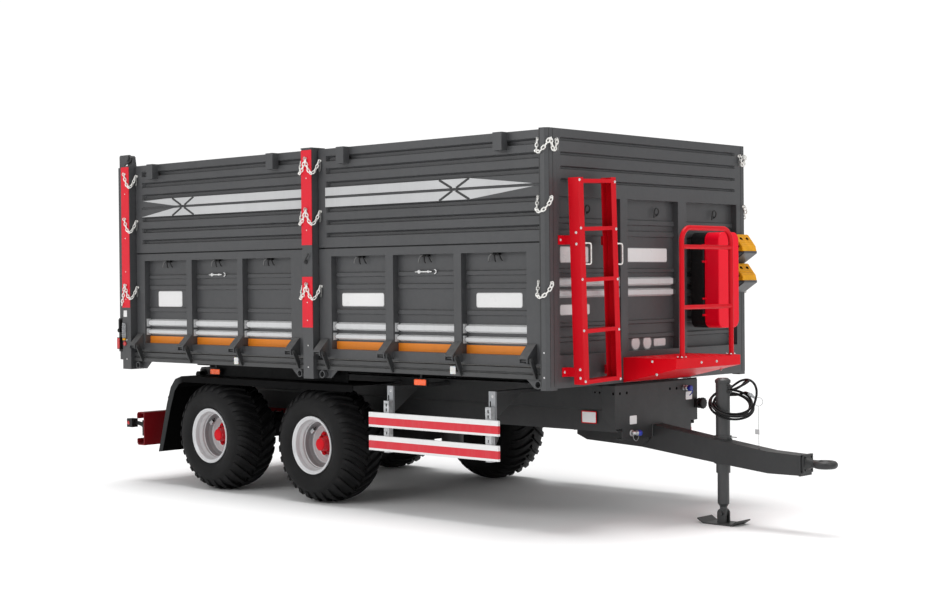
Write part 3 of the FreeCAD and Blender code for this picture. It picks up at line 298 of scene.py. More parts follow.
def plastic(name, colour, rough=0.4, coat=0.0, lens=False, glow=0.0, dirt=0.22, spec=0.5):
    t = Tree(name)
    c = Vector(colour[:3])
    col = t.mix(t.span(t.noise(20.0, 4.0, 0.6), 0.3, 0.7), (*(c * 0.88), 1.0), (*(c * 1.1), 1.0))
    dusty = t.span(t.noise(45.0, 6.0, 0.7), 0.52, 0.78)
    col = t.mix(t.math("MULTIPLY", dusty, dirt), col, lin(150, 145, 136))
    t.bsdf.inputs["Specular IOR Level"].default_value = spec
    t.put(col, t.bsdf.inputs["Base Color"])
    t.put(t.blend(dusty, rough, min(1.0, rough + 0.25)), t.bsdf.inputs["Roughness"])
    t.bsdf.inputs["Coat Weight"].default_value = coat
    t.bsdf.inputs["Coat Roughness"].default_value = 0.06
    h = t.math("MULTIPLY", t.noise(300.0, 2.0, 0.5), 0.00008)
    if lens:
        # moulded prisms behind the lens
        x, y, z = t.xyz()
        a = t.math("SINE", t.math("MULTIPLY", t.math("ADD", x, y), 900.0))
        d = t.math("SINE", t.math("MULTIPLY", z, 900.0))
        h = t.math("ADD", h, t.math("MULTIPLY", t.math("MULTIPLY", a, d), 0.0006))
        t.bsdf.inputs["Subsurface Weight"].default_value = 0.25
        t.bsdf.inputs["Subsurface Radius"].default_value = (0.01, 0.004, 0.002)
        t.bsdf.inputs["Subsurface Scale"].default_value = 0.6
        if glow:
            t.bsdf.inputs["Emission Color"].default_value = (*colour[:3], 1.0)
            t.bsdf.inputs["Emission Strength"].default_value = glow
    b = t.node("ShaderNodeBump")
    b.inputs["Strength"].default_value = 1.0
    b.inputs["Distance"].default_value = 1.0
    t.put(h, b.inputs["Height"])
    bv = t.node("ShaderNodeBevel", samples=3)
    bv.inputs["Radius"].default_value = 0.0015
    t.put(bv.outputs[0], b.inputs["Normal"])
    t.put(b.outputs[0], t.bsdf.inputs["Normal"])
    return t.mat


GREY = lin(65, 66, 68)
SILVER = lin(190, 191, 192)
RIDGE = lin(200, 201, 202)
ORANGE = lin(226, 130, 22)
RED = lin(204, 6, 26)


def lower_silver(t):
    x, y, z = t.xyz()
    ay = t.math("ABSOLUTE", y)
    return t.math("MULTIPLY", t.between(ay, 1.0357, 1.0745, 0.0003),
                  t.any_of([t.between(z, 1.293, 1.356), t.between(z, 1.223, 1.275)]))


def lower_orange(t):
    x, y, z = t.xyz()
    ay = t.math("ABSOLUTE", y)
    return t.math("MULTIPLY", t.between(ay, 1.0300, 1.0400, 0.0003), t.between(z, 1.155, 1.2125))


def bulk_silver(t):
    x, y, z = t.xyz()
    return t.math("MULTIPLY", t.between(x, 1.6085, 1.6500, 0.0003),
                  t.all_of([t.any_of([t.between(z, 1.604, 1.668), t.between(z, 1.530, 1.590)]),
                            t.between(y, -1.029, 0.262)]))


def gate_silver(t):
    x, y, z = t.xyz()
    return t.math("MULTIPLY", t.between(x, -3.062, -3.0315, 0.0003), t.any_of([t.between(z, 1.293, 1.356), t.between(z, 1.223, 1.275)]))


def guard_red(t):
    x, y, z = t.xyz()
    return t.any_of([t.between(z, 0.6260, 0.6800, 0.0010), t.between(z, 0.4580, 0.5125, 0.0010)])


# hub flange painted a darker red than the cap and nuts: painted shade inside the wheel
def hub_red_in_painted_shade(t):
    x, y, z = t.xyz()
    dx = t.math("SUBTRACT", t.math("ABSOLUTE", t.math("ADD", x, 1.29)), 0.61)
    dz = t.math("SUBTRACT", z, 0.435)
    r = t.math("SQRT", t.math("ADD", t.math("MULTIPLY", dx, dx), t.math("MULTIPLY", dz, dz)))
    ay = t.math("ABSOLUTE", y)
    return t.math("MULTIPLY", t.span(r, 0.1040, 0.1048, 1.0, 0.0), t.span(ay, 0.9306, 0.9312))


def hub_cap(t):
    x, y, z = t.xyz()
    ay = t.math("ABSOLUTE", y)
    dx = t.math("SUBTRACT", t.math("ABSOLUTE", t.math("ADD", x, 1.29)), 0.61)
    dz = t.math("SUBTRACT", z, 0.435)
    r = t.math("SQRT", t.math("ADD", t.math("MULTIPLY", dx, dx), t.math("MULTIPLY", dz, dz)))
    return t.math("MULTIPLY", t.span(ay, 0.9645, 0.9652), t.span(r, 0.060, 0.061, 1.0, 0.0))


# darker grey ring on the rim's deep inner barrel: painted shade
def rim_barrel_painted_shade(t):
    x, y, z = t.xyz()
    dx = t.math("SUBTRACT", t.math("ABSOLUTE", t.math("ADD", x, 1.29)), 0.61)
    dz = t.math("SUBTRACT", z, 0.435)
    r = t.math("SQRT", t.math("ADD", t.math("MULTIPLY", dx, dx), t.math("MULTIPLY", dz, dz)))
    ay = t.math("ABSOLUTE", y)
    return t.math("MULTIPLY", t.between(r, 0.1395, 0.1705, 0.0006), t.between(ay, 0.9725, 1.0270, 0.0006))


# lighter lip only on the mudguard's rear part, where light falls: a painted highlight; the rest of the lip stays black
# as painted shade
def guard_lip_lit_part(t):
    x, y, z = t.xyz()
    return t.math("MULTIPLY", t.span(t.math("ABSOLUTE", y), 1.1146, 1.1149), t.span(x, -2.31, -2.24, 1.0, 0.0))


def bracket_zinc(t):
    x, y, z = t.xyz()
    return t.math("MULTIPLY", t.span(t.math("ABSOLUTE", y), 1.0350, 1.0354), t.between(z, 0.690, 0.9045))


M = {}
M["panel"] = paint("panel_paint_satin", GREY, rough=0.40, mottle=0.09, dust=0.13, wear_and_highlight=0.30)
M["lower"] = paint("lower_side_paint", GREY, rough=0.40, mottle=0.09, dust=0.13, wear_and_highlight=0.30,
                   zones=((lower_orange, ORANGE, 0.5, 0.0), (lower_silver, RIDGE, 0.46, 0.0)))
M["bulkhead"] = paint("bulkhead_paint", GREY, rough=0.40, mottle=0.09, dust=0.12, wear_and_highlight=0.30,
                      zones=((bulk_silver, RIDGE, 0.46, 0.0),))
M["gate"] = paint("tailgate_paint", GREY, rough=0.40, mottle=0.09, dust=0.14, wear_and_highlight=0.34,
                  zones=((gate_silver, RIDGE, 0.46, 0.0),))
M["floor"] = paint("bed_floor_paint", lin(78, 78, 79), rough=0.5, mottle=0.22, dust=0.42, wear_and_highlight=0.5, streak=0.25)
M["chassis"] = paint("chassis_paint_satin", lin(46, 47, 48), rough=0.46, mottle=0.12, dust=0.08, wear_and_highlight=0.22, spec=0.35)
M["sill"] = paint("sill_paint", lin(58, 59, 60), rough=0.44, mottle=0.10, dust=0.10, wear_and_highlight=0.28)
M["drawbar"] = paint("drawbar_paint", lin(44, 45, 46), rough=0.44, mottle=0.12, dust=0.07, wear_and_highlight=0.30, spec=0.35)
M["jack"] = paint("jack_paint", lin(56, 57, 58), rough=0.40, mottle=0.12, dust=0.08, wear_and_highlight=0.35)
# near-black underbody: its dark paint deepened as painted shade under the body
M["under"] = paint("underbody_paint_and_shade", lin(18, 19, 20), rough=0.55, mottle=0.16, dust=0.06, wear_and_highlight=0.12, spec=0.10)
M["hinge"] = paint("hinge_paint", lin(44, 45, 46), rough=0.46, mottle=0.12, dust=0.10, wear_and_highlight=0.30, spec=0.35)
M["bracket"] = paint("outrigger_paint", lin(46, 47, 48), rough=0.46, mottle=0.12, dust=0.10, wear_and_highlight=0.22,
                     zones=((bracket_zinc, lin(150, 152, 155), 0.42, 0.45),))
M["red"] = paint("red_powder_coat", RED, rough=0.40, mottle=0.07, dust=0.01, wear_and_highlight=0.20, coat=0.0, spec=0.16,
                 wear_and_highlight_to=(0.90, 0.05, 0.07, 1.0), streak=0.05)
M["step"] = paint("red_step_paint", lin(222, 3, 24), rough=0.40, mottle=0.07, dust=0.01, wear_and_highlight=0.25, coat=0.0, spec=0.12,
                  wear_and_highlight_to=(0.92, 0.05, 0.07, 1.0), streak=0.05)
M["strip"] = paint("red_strip_film", lin(214, 20, 42), rough=0.40, mottle=0.06, dust=0.05, wear_and_highlight=0.12, coat=0.0, spec=0.35,
                   wear_and_highlight_to=(0.90, 0.12, 0.14, 1.0), streak=0.05)
M["lid"] = paint("cabinet_lid_red", lin(238, 2, 38), rough=0.34, mottle=0.06, dust=0.01, wear_and_highlight=0.10, coat=0.0, spec=0.18,
                 wear_and_highlight_to=(0.95, 0.08, 0.10, 1.0), streak=0.03)
# red bumper given a dark red: painted shade, matching its shaded web
M["bumper"] = paint("bumper_red_in_painted_shade", lin(124, 8, 18), rough=0.44, mottle=0.12, dust=0.06, wear_and_highlight=0.35, spec=0.35,
                    wear_and_highlight_to=(0.55, 0.03, 0.05, 1.0))
M["guard"] = paint("guard_rail_white", lin(226, 226, 226), rough=0.36, mottle=0.04, dust=0.08, wear_and_highlight=0.15,
                   wear_and_highlight_to=(0.6, 0.6, 0.6, 1.0), streak=0.10, zones=((guard_red, lin(206, 16, 40), 0.36, 0.0),))
M["rim"] = paint("rim_silver", lin(206, 207, 209), rough=0.34, metal=0.10, mottle=0.07, dust=0.14, wear_and_highlight=0.25, streak=0.02,
                 wear_and_highlight_to=(0.8, 0.8, 0.8, 1.0),
                 zones=((rim_barrel_painted_shade, lin(128, 128, 130), 0.42, 0.1), (hub_red_in_painted_shade, lin(150, 8, 24), 0.36, 0.0),
                        (hub_cap, lin(214, 18, 42), 0.32, 0.0)))
# black mudguard, its black deepened as painted shade under the body
M["mudguard"] = paint("mudguard_black_and_shade", lin(9, 9, 10), rough=0.55, mottle=0.2, dust=0.02, wear_and_highlight=0.08, spec=0.04,
                      wear_and_highlight_to=(0.10, 0.10, 0.10, 1.0), zones=((guard_lip_lit_part, lin(52, 53, 54), 0.42, 0.0),))
M["black"] = plastic("black_moulded", lin(17, 17, 18), rough=0.46, dirt=0.08, spec=0.3)
M["yellow"] = plastic("chock_yellow", lin(228, 160, 6), rough=0.44, dirt=0.10, spec=0.3)
M["orange_lens"] = plastic("orange_lens", lin(255, 96, 30), rough=0.18, coat=0.5, lens=True, glow=0.10)
M["red_lens"] = plastic("red_lens", lin(190, 12, 18), rough=0.16, coat=0.6, lens=True, glow=0.04)
M["white_lens"] = plastic("white_reflector", lin(226, 226, 224), rough=0.2, coat=0.5, lens=True)
M["blue"] = plastic("blue_cap", lin(30, 52, 160), rough=0.38, dirt=0.08)
M["tyre"] = rubber("tyre_rubber", lin(19, 19, 20), rough=0.60, dust=0.07, rings=True)
M["hose"] = rubber("hose_rubber", lin(17, 17, 18), rough=0.42, dust=0.07, grain=0.3)
M["zinc"] = zinc("galvanised_steel")
M["chain"] = zinc("chain_zinc", lin(240, 239, 235), rough=0.40, metal=0.20, scale=160.0, dirt=0.12)
M["bolt"] = zinc("bolt_zinc", lin(226, 226, 226), rough=0.32, metal=0.45, scale=300.0, dirt=0.15)
M["steel"] = zinc("cylinder_chrome", lin(196, 198, 202), rough=0.16, metal=0.95, scale=9.0, dirt=0.12)
M["wire"] = zinc("wire_steel", lin(112, 112, 112), rough=0.4, metal=0.6, scale=200.0, dirt=0.3)
M["hook_steel"] = zinc("hook_steel", lin(128, 128, 127), rough=0.42, metal=0.5, scale=180.0, dirt=0.25)
M["label"] = paint("blank_label_white", lin(224, 224, 224), rough=0.3, mottle=0.03, dust=0.08, wear_and_highlight=0.1, streak=0.04,
                   wear_and_highlight_to=(0.5, 0.5, 0.5, 1.0))
M["label_grey"] = paint("blank_label_grey", lin(150, 150, 151), rough=0.34, mottle=0.05, dust=0.08, wear_and_highlight=0.1, streak=0.04)
M["decal"] = paint("silver_band_film", SILVER, rough=0.34, metal=0.2, mottle=0.05, dust=0.10, wear_and_highlight=0.1, streak=0.10,
                   wear_and_highlight_to=(0.5, 0.5, 0.5, 1.0))
# dark lines: the crosses on the stripes, and painted shade at the corner posts' folds and gap
M["seam"] = paint("dark_line_and_fold_shade", lin(40, 41, 42), rough=0.5, mottle=0.1, dust=0.1, wear_and_highlight=0.0)
M["weld"] = paint("weld_bead_paint", lin(58, 59, 60), rough=0.46, mottle=0.15, dust=0.12, wear_and_highlight=0.45, peel=0.3)
# black strip material: painted shade in the gap over the headstock
M["gap_shade"] = rubber("gap_shade_black", lin(15, 15, 16), rough=0.6, dust=0.06, grain=0.3)
M["void"] = plastic("hole_shadow", lin(5, 5, 5), rough=0.9, dirt=0.02, spec=0.05)

CAD_MATERIAL = {
    "axles": "under", "bed_floor": "floor", "bed_frame": "under", "body_lamps": "black", "chassis_rails": "chassis",
    "chock_holders": "panel", "cross_members": "under", "cylinder_barrel": "chassis", "cylinder_cradle": "under",
    "drawbar": "drawbar", "drop_hinges": "hinge", "extinguisher_base": "black", "extinguisher_lid": "lid",
    "floor_rails": "sill", "front_bulkhead": "bulkhead", "guard_posts": "zinc", "guard_rails": "guard",
    "guardrail": "red", "headstock": "chassis", "jack_housing": "jack", "jack_leg": "jack", "ladder": "red",
    "leaf_springs": "under", "mudguards": "mudguard", "outriggers": "bracket", "platform": "step",
    "post_gussets": "panel", "post_strips": "strip", "rear_bumper": "bumper", "rear_lamps": "black",
    "side_posts": "panel", "spring_hangers": "under", "tailgate": "gate", "tip_pins": "under", "towing_eye": "drawbar",
    "wheel_chocks": "yellow", "hose_coupler": "zinc", "hose_lead": "hose", "hose_coil": "hose", "lanyard": "wire",
}
for n, o in NODES.items():
    if n.startswith("lower_side"):
        key = "lower"
    elif n.startswith("upper_side"):
        key = "panel"
    elif n.startswith("rim_"):
        key = "rim"
    elif n.startswith("tyre_"):
        key = "tyre"
    elif n.startswith("cylinder_stage"):
        key = "steel"
    else:
        key = CAD_MATERIAL[n]
    o.data.materials.clear()
    o.data.materials.append(M[key])


# ---------------------------------------------------------- mesh builder
class Mesh:
    """collects vertices and faces in the row frame"""

    def __init__(self):
        self.v, self.f, self.smooth = [], [], []

    def add(self, verts, faces, smooth=False, m=None):
        k = len(self.v)
        self.v += [tuple(m @ Vector(p)) if m is not None else tuple(p) for p in verts]
        self.f += [tuple(i + k for i in f) for f in faces]
        self.smooth += [smooth] * len(faces)
        return self

    def box(self, lo, hi, c=0.0015, m=None):
        """box with chamfered edges"""
        lo, hi = [min(a, b) for a, b in zip(lo, hi)], [max(a, b) for a, b in zip(lo, hi)]
        c = min([c] + [0.45 * (b - a) for a, b in zip(lo, hi)])
        vs, idx = [], {}
        for sx in (0, 1):
            for sy in (0, 1):
                for sz in (0, 1):
                    s = (sx, sy, sz)
                    full = [hi[i] if s[i] else lo[i] for i in range(3)]
                    inn = [full[i] - c if s[i] else full[i] + c for i in range(3)]
                    for ax in range(3):
                        p = list(inn)
                        p[ax] = full[ax]
                        idx[(s, ax)] = len(vs)
                        vs.append(tuple(p))
        fs = []
        centre = Vector([(a + b) / 2 for a, b in zip(lo, hi)])

        def face(ids):
            n = (Vector(vs[ids[1]]) - Vector(vs[ids[0]])).cross(Vector(vs[ids[2]]) - Vector(vs[ids[0]]))
            mid = sum((Vector(vs[i]) for i in ids), Vector()) / len(ids)
            fs.append(tuple(ids) if n.dot(mid - centre) > 0 else tuple(reversed(ids)))

        for ax in range(3):
            o1, o2 = [(a) for a in range(3) if a != ax]
            for s in (0, 1):
                def corner(p, q):
                    k = [0, 0, 0]
                    k[ax], k[o1], k[o2] = s, p, q
                    return tuple(k)
                face([idx[(corner(0, 0), ax)], idx[(corner(1, 0), ax)], idx[(corner(1, 1), ax)], idx[(corner(0, 1), ax)]])
            for p in (0, 1):
                for q in (0, 1):
                    k0, k1 = [0, 0, 0], [0, 0, 0]
                    k0[o1], k0[o2], k1[o1], k1[o2], k1[ax] = p, q, p, q, 1
                    k0, k1 = tuple(k0), tuple(k1)
                    face([idx[(k0, o1)], idx[(k0, o2)], idx[(k1, o2)], idx[(k1, o1)]])
        for s in {k[0] for k in idx}:
            face([idx[(s, 0)], idx[(s, 1)], idx[(s, 2)]])
        return self.add(vs, fs, False, m)

    def turned(self, profile, m, n=24, smooth=True, start=0.0):
        """profile of (radius, height) turned about local z"""
        vs, fs, rows = [], [], []
        for r, h in profile:
            if r < 1e-6:
                rows.append([len(vs)])
                vs.append((0.0, 0.0, h))
            else:
                rows.append(list(range(len(vs), len(vs) + n)))
                for i in range(n):
                    t = start + 2 * math.pi * i / n
                    vs.append((r * math.cos(t), r * math.sin(t), h))
        for a, b in zip(rows, rows[1:]):
            for i in range(n):
                j = (i + 1) % n
                if len(a) == 1 and len(b) == 1:
                    continue
                if len(a) == 1:
                    fs.append((a[0], b[i], b[j]))
                elif len(b) == 1:
                    fs.append((a[i], b[0], a[j]))
                else:
                    fs.append((a[i], b[i], b[j], a[j]))
        fs = [tuple(reversed(f)) for f in fs]
        return self.add(vs, fs, smooth, m)

    def tube(self, pts, r, n=10, closed=False, m=None, caps=True, smooth=True):
        pts = [Vector(p) for p in pts]
        k = len(pts)
        radii = r if isinstance(r, (list, tuple)) else [r] * k
        tang = []
        for i in range(k):
            a = pts[(i - 1) % k] if closed or i > 0 else pts[i]
            b = pts[(i + 1) % k] if closed or i < k - 1 else pts[i]
            tang.append((b - a).normalized())
        ref = Vector((0, 0, 1)) if abs(tang[0].z) < 0.9 else Vector((1, 0, 0))
        nrm = (ref - tang[0] * ref.dot(tang[0])).normalized()
        vs, rings = [], []
        for i in range(k):
            nrm = (nrm - tang[i] * nrm.dot(tang[i])).normalized()
            bi = tang[i].cross(nrm)
            rings.append(len(vs))
            for j in range(n):
                t = 2 * math.pi * j / n
                vs.append(tuple(pts[i] + (nrm * math.cos(t) + bi * math.sin(t)) * radii[i]))
        fs = []
        for i in range(k if closed else k - 1):
            a, b = rings[i], rings[(i + 1) % k]
            off = 0
            if closed and i == k - 1:
                # match the seam so that the last ring doesn't twist
                first = Vector(vs[a]) - pts[i]
                off = max(range(n), key=lambda q: (Vector(vs[b + q]) - pts[0]).dot(first))
            for j in range(n):
                fs.append((a + j, a + (j + 1) % n, b + (j + 1 + off) % n, b + (j + off) % n))
        if not closed and caps:
            fs.append(tuple(reversed(range(rings[0], rings[0] + n))))
            fs.append(tuple(range(rings[-1], rings[-1] + n)))
        return self.add(vs, fs, smooth, m)

    def slab(self, outline, axis, lo, hi, c=0.0):
        """outline of 2-D points in the plane across axis, from lo to hi along it; c chamfers the hi side"""
        n = len(outline)
        area = sum(outline[i][0] * outline[(i + 1) % n][1] - outline[(i + 1) % n][0] * outline[i][1] for i in range(n))
        if area < 0:
            outline = list(reversed(outline))
        cx = sum(p[0] for p in outline) / n
        cy = sum(p[1] for p in outline) / n

        def inset(p):
            if not c:
                return p
            d = Vector((p[0] - cx, p[1] - cy))
            return (p[0] - c * (1 if d.x > 0 else -1), p[1] - c * (1 if d.y > 0 else -1))

        def place(p, h):
            if axis == "x":
                return (h, p[0], p[1])
            if axis == "y":
                return (p[0], h, p[1])
            return (p[0], p[1], h)

        s = 1 if hi > lo else -1
        layers = [(lo, outline), (hi - s * c, outline), (hi, [inset(p) for p in outline])] if c else [(lo, outline), (hi, outline)]
        vs = [place(p, h) for h, ring in layers for p in ring]
        fs = []
        for L in range(len(layers) - 1):
            for i in range(n):
                j = (i + 1) % n
                fs.append((L * n + i, L * n + j, (L + 1) * n + j, (L + 1) * n + i))
        fs.append(tuple(reversed(range(n))))
        fs.append(tuple(range((len(layers) - 1) * n, len(layers) * n)))
        flip = (s < 0) != (axis == "y")
        if flip:
            fs = [tuple(reversed(f)) for f in fs]
        return self.add(vs, fs, False)

    def object(self, name, material, body, angle=35.0, cad_slot=True):
        me = bpy.data.meshes.new(name)
        me.from_pydata(self.v, [], self.f)
        me.materials.append(M[material])
        me.polygons.foreach_set("use_smooth", self.smooth)
        me.update()
        me.validate()
        if any(self.smooth):
            me.set_sharp_from_angle(angle=math.radians(angle))
        o = bpy.data.objects.new(name, me)
        SCENE.collection.objects.link(o)
        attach(o, body)
        return o


def facing(normal, at, spin=0.0):
    """matrix whose local z is the given direction"""
    q = Vector(normal).to_track_quat("Z", "Y")
    return Matrix.Translation(Vector(at)) @ q.to_matrix().to_4x4() @ Matrix.Rotation(spin, 4, "Z")


def bolt(mesh, at, normal, size=0.010, washer=True, spin=None, depth=0.55):
    """hexagon bolt head with washer; size is the head's radius"""
    if spin is None:
        spin = RNG.random() * math.pi
    m = facing(normal, at, spin)
    h = 0.0
    if washer:
        mesh.turned([(size * 0.5, -0.0005), (size * 1.45, -0.0005), (size * 1.45, size * 0.18), (size * 1.36, size * 0.24), (size * 0.6, size * 0.24)], m, 16, True)
        h = size * 0.22
    t = size * depth * 1.4
    mesh.turned([(size * 0.97, h - 0.0003), (size, h + 0.1 * t), (size, h + t * 0.82), (size * 0.84, h + t), (0, h + t)], m, 6, False)
    mesh.turned([(size * 0.42, h + t - 0.0002), (size * 0.42, h + t * 1.35), (size * 0.34, h + t * 1.5), (0, h + t * 1.5)], m, 10, True)


def dome(mesh, at, normal, r=0.010, h=0.005, n=14):
    mesh.turned([(r, -0.0005), (r, h * 0.25), (r * 0.85, h * 0.7), (r * 0.5, h * 0.95), (0, h)], facing(normal, at), n, True)


def rounded(x0, x1, z0, z1, r, k=5):
    pts = []
    for cx, cz, a0 in ((x1 - r, z1 - r, 0), (x0 + r, z1 - r, 90), (x0 + r, z0 + r, 180), (x1 - r, z0 + r, 270)):
        for i in range(k):
            a = math.radians(a0 + 90 * i / (k - 1))
            pts.append((cx + r * math.cos(a), cz + r * math.sin(a)))
    return pts


# ------------------------------------------------------------------ tyres
WHEEL_R, WHEEL_Y = 0.435, 0.930
WHEELS = {"front_right": (-0.68, -1), "front_left": (-0.68, 1), "rear_right": (-1.90, -1), "rear_left": (-1.90, 1)}
CARCASS = [(0.1735, 0.2005), (0.1740, 0.2100), (0.1765, 0.2205), (0.1840, 0.2310), (0.1915, 0.2430), (0.1970, 0.2560), (0.2005, 0.2720),
           (0.2022, 0.2900), (0.2022, 0.3060), (0.2008, 0.3200), (0.1998, 0.3270), (0.1985, 0.3340), (0.1930, 0.3440), (0.1845, 0.3590),
           (0.1745, 0.3720), (0.1625, 0.3830), (0.1475, 0.3925), (0.1290, 0.4000), (0.1040, 0.4060), (0.0740, 0.4105), (0.0400, 0.4130), (0.0, 0.4135)]
LUG_TOP = [(0.1905, 0.3560), (0.1850, 0.3720), (0.1755, 0.3880), (0.1620, 0.4010), (0.1440, 0.4115), (0.1200, 0.4210), (0.0940, 0.4275), (0.0680, 0.4315),
           (0.0400, 0.4340), (0.0150, 0.4348), (0.0020, 0.4350)]
LUG_BASE = [(0.1830, 0.3560), (0.1735, 0.3680), (0.1615, 0.3790), (0.1480, 0.3880), (0.1330, 0.3945), (0.1130, 0.4005), (0.0900, 0.4050), (0.0660, 0.4080),
            (0.0400, 0.4100), (0.0150, 0.4105), (0.0020, 0.4105)]


def tyre_mesh():
    """implement tyre about the y axis: smooth walls, two staggered rows of bars"""
    b = Mesh()
    prof = CARCASS + [(-w, r) for w, r in reversed(CARCASS[:-1])]
    n = 120
    vs, fs = [], []
    for i in range(n):
        a = 2 * math.pi * i / n
        for w, r in prof:
            vs.append((r * math.sin(a), w, r * math.cos(a)))
    k = len(prof)
    for i in range(n):
        j = (i + 1) % n
        for p in range(k - 1):
            fs.append((i * k + p, j * k + p, j * k + p + 1, i * k + p + 1))
    b.add(vs, fs, True)
    count = 30
    for side in (1, -1):
        for q in range(count):
            a0 = 2 * math.pi * (q + (0.0 if side > 0 else 0.5)) / count
            jitter = 0.0
            rows = []
            m = len(LUG_TOP)
            for i in range(m):
                t = i / (m - 1)
                # the bar leans forward towards the middle
                s = max(0.0, (0.1905 - LUG_TOP[i][0]) / 0.1905)
                lean = 0.105 * s ** 1.15
                half_t = (0.0185 - 0.0060 * s) if i > 1 else (0.0145 + 0.002 * i)
                half_b = half_t + 0.006
                wt, rt = LUG_TOP[i]
                wb, rb = LUG_BASE[i]
                ring = []
                for w, r, off in ((wb, rb, -half_b), (wt, rt, -half_t), (wt, rt, half_t), (wb, rb, half_b)):
                    a = a0 + lean / 0.42 + off / r + jitter
                    ring.append((r * math.sin(a), side * w, r * math.cos(a)))
                rows.append(ring)
            vs = [p for ring in rows for p in ring]
            fs = []
            for i in range(m - 1):
                for c in range(3):
                    fs.append((i * 4 + c, i * 4 + c + 1, (i + 1) * 4 + c + 1, (i + 1) * 4 + c))
            fs.append((0, 3, 2, 1))
            fs.append(tuple((m - 1) * 4 + c for c in (0, 1, 2, 3)))
            if side > 0:
                fs = [tuple(reversed(f)) for f in fs]
            b.add(vs, fs, False)
    return b


TYRE = tyre_mesh()
for label, (wx, s) in WHEELS.items():
    turn = Matrix.Rotation(math.radians({"front_right": 3.0, "front_left": 47.0, "rear_right": 11.0, "rear_left": 80.0}[label]), 4, "Y")
    flip = Matrix.Rotation(math.pi, 4, "Z") if s > 0 else Matrix.Identity(4)
    place = Matrix.Translation((wx, s * WHEEL_Y, WHEEL_R)) @ turn @ flip
    one = Mesh()
    one.v = [tuple(place @ Vector(p)) for p in TYRE.v]
    one.f, one.smooth = TYRE.f, TYRE.smooth
    o = one.object("tread_" + label, "tyre", "wheel_" + label)
    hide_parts("tyre_" + label)

# wheel nuts, valve bracket and valve
for label, (wx, s) in WHEELS.items():
    nuts, valve, stem = Mesh(), Mesh(), Mesh()
    body = "wheel_" + label
    for k in range(8):
        a = math.radians((k // 2) * 90 + (29 if k % 2 == 0 else 61))
        at = (wx + 0.0855 * math.cos(a), s * 0.9462, WHEEL_R + 0.0855 * math.sin(a))
        m = facing((0, s, 0), at, 0.4 * k)
        nuts.turned([(0.0125, -0.0008), (0.0125, 0.012), (0.0108, 0.0145), (0.0075, 0.0148), (0.0072, 0.0205), (0.0055, 0.0225), (0, 0.0225)], m, 12, True)
        nuts.turned([(0.0150, -0.0008), (0.0158, 0.0022), (0.0158, 0.0105), (0.0135, 0.0125), (0.0075, 0.0125)], m, 6, False)
    # domed face of the cap with a collar
    m = facing((0, s, 0), (wx, s * 1.0295, WHEEL_R))
    nuts.turned([(0.0465, -0.004), (0.0462, 0.0005), (0.0430, 0.0035), (0.030, 0.0065), (0.015, 0.0078), (0, 0.0082)], m, 40, True)
    m = facing((0, s, 0), (wx, s * 0.9650, WHEEL_R))
    nuts.turned([(0.0560, -0.003), (0.0575, 0.000), (0.0575, 0.0055), (0.0545, 0.0085), (0.0490, 0.0092)], m, 40, True)
    nuts.object("hub_nuts_" + label, "red" if True else "rim", body)
    c = Vector((wx - 0.108, s * 1.003, WHEEL_R + 0.094))
    lo = c - Vector((0.020, 0.012, 0.015))
    hi = c + Vector((0.020, 0.012, 0.015))
    spin = Matrix.Translation(c) @ Matrix.Rotation(math.radians(-41), 4, "Y") @ Matrix.Translation(-c)
    valve.box(lo, hi, 0.003, spin)
    valve.object("valve_guard_" + label, "zinc", body)
    m = facing(spin.to_3x3() @ Vector((1, 0, 0)), spin @ Vector(c + Vector((0.0202, 0, 0))))
    stem.turned([(0.0105, -0.001), (0.0105, 0.0006), (0.0, 0.0006)], m, 16, True)
    stem.tube([spin @ (c + Vector(d)) for d in ((0.010, 0.0, 0.0), (0.026, 0.0, 0.0), (0.040, s * 0.002, -0.001), (0.052, s * 0.006, -0.003))], [0.0045, 0.0045, 0.004, 0.003], 8)
    stem.object("valve_" + label, "black", body)

# ----------------------------------------------------- stripes on the sides
X0 = 1.660


def stripe_bands(rear):
    if rear:
        end, start = -2.388, -4.490
        up = [(-4.445, 2.334), (-4.020, 2.2843), (end, 2.2843), (end, 2.3455), (-4.145, 2.3455)]
        low = [(-4.470, 2.2020), (end, 2.2020), (end, 2.2657), (-4.020, 2.2657)]
        cx = -3.905
    else:
        end, start = -2.187, -0.165
        up = [(end, 2.2843), (start, 2.2843), (-0.735, 2.3455), (end, 2.3455)]
        low = [(end, 2.2020), (-0.735, 2.2020), (start + 0.004, 2.2657), (end, 2.2657)]
        cx = -0.878
    return up, low, cx


def clip_line(p, q, width):
    """thin quad along a line in the side's plane"""
    d = Vector((q[0] - p[0], q[1] - p[1])).normalized()
    n = Vector((-d.y, d.x)) * (width / 2)
    return [(p[0] + n.x, p[1] + n.y), (q[0] + n.x, q[1] + n.y), (q[0] - n.x, q[1] - n.y), (p[0] - n.x, p[1] - n.y)]


for side, s in (("right", -1), ("left", 1)):
    for where in ("rear", "front"):
        body = "upper_side_%s_%s" % (where, side)
        up, low, cx = stripe_bands(where == "rear")
        band, line = Mesh(), Mesh()
        for poly in (up, low):
            band.slab([(X0 + x, z) for x, z in poly], "y", s * 1.0890, s * 1.0909)
        band.object("stripe_%s_%s" % (where, side), "decal", body)
        for dx in (-1, 1):
            for za, zb in ((2.2015, 2.2662), (2.2838, 2.3460)):
                k = 0.1425 / 0.0720
                xa = cx + dx * (za - 2.274) * k
                xb = cx + dx * (zb - 2.274) * k
                line.slab([(X0 + x, z) for x, z in clip_line((xa, za), (xb, zb), 0.017)], "y", s * 1.0905, s * 1.0913)
        line.object("stripe_cross_%s_%s" % (where, side), "seam", body)

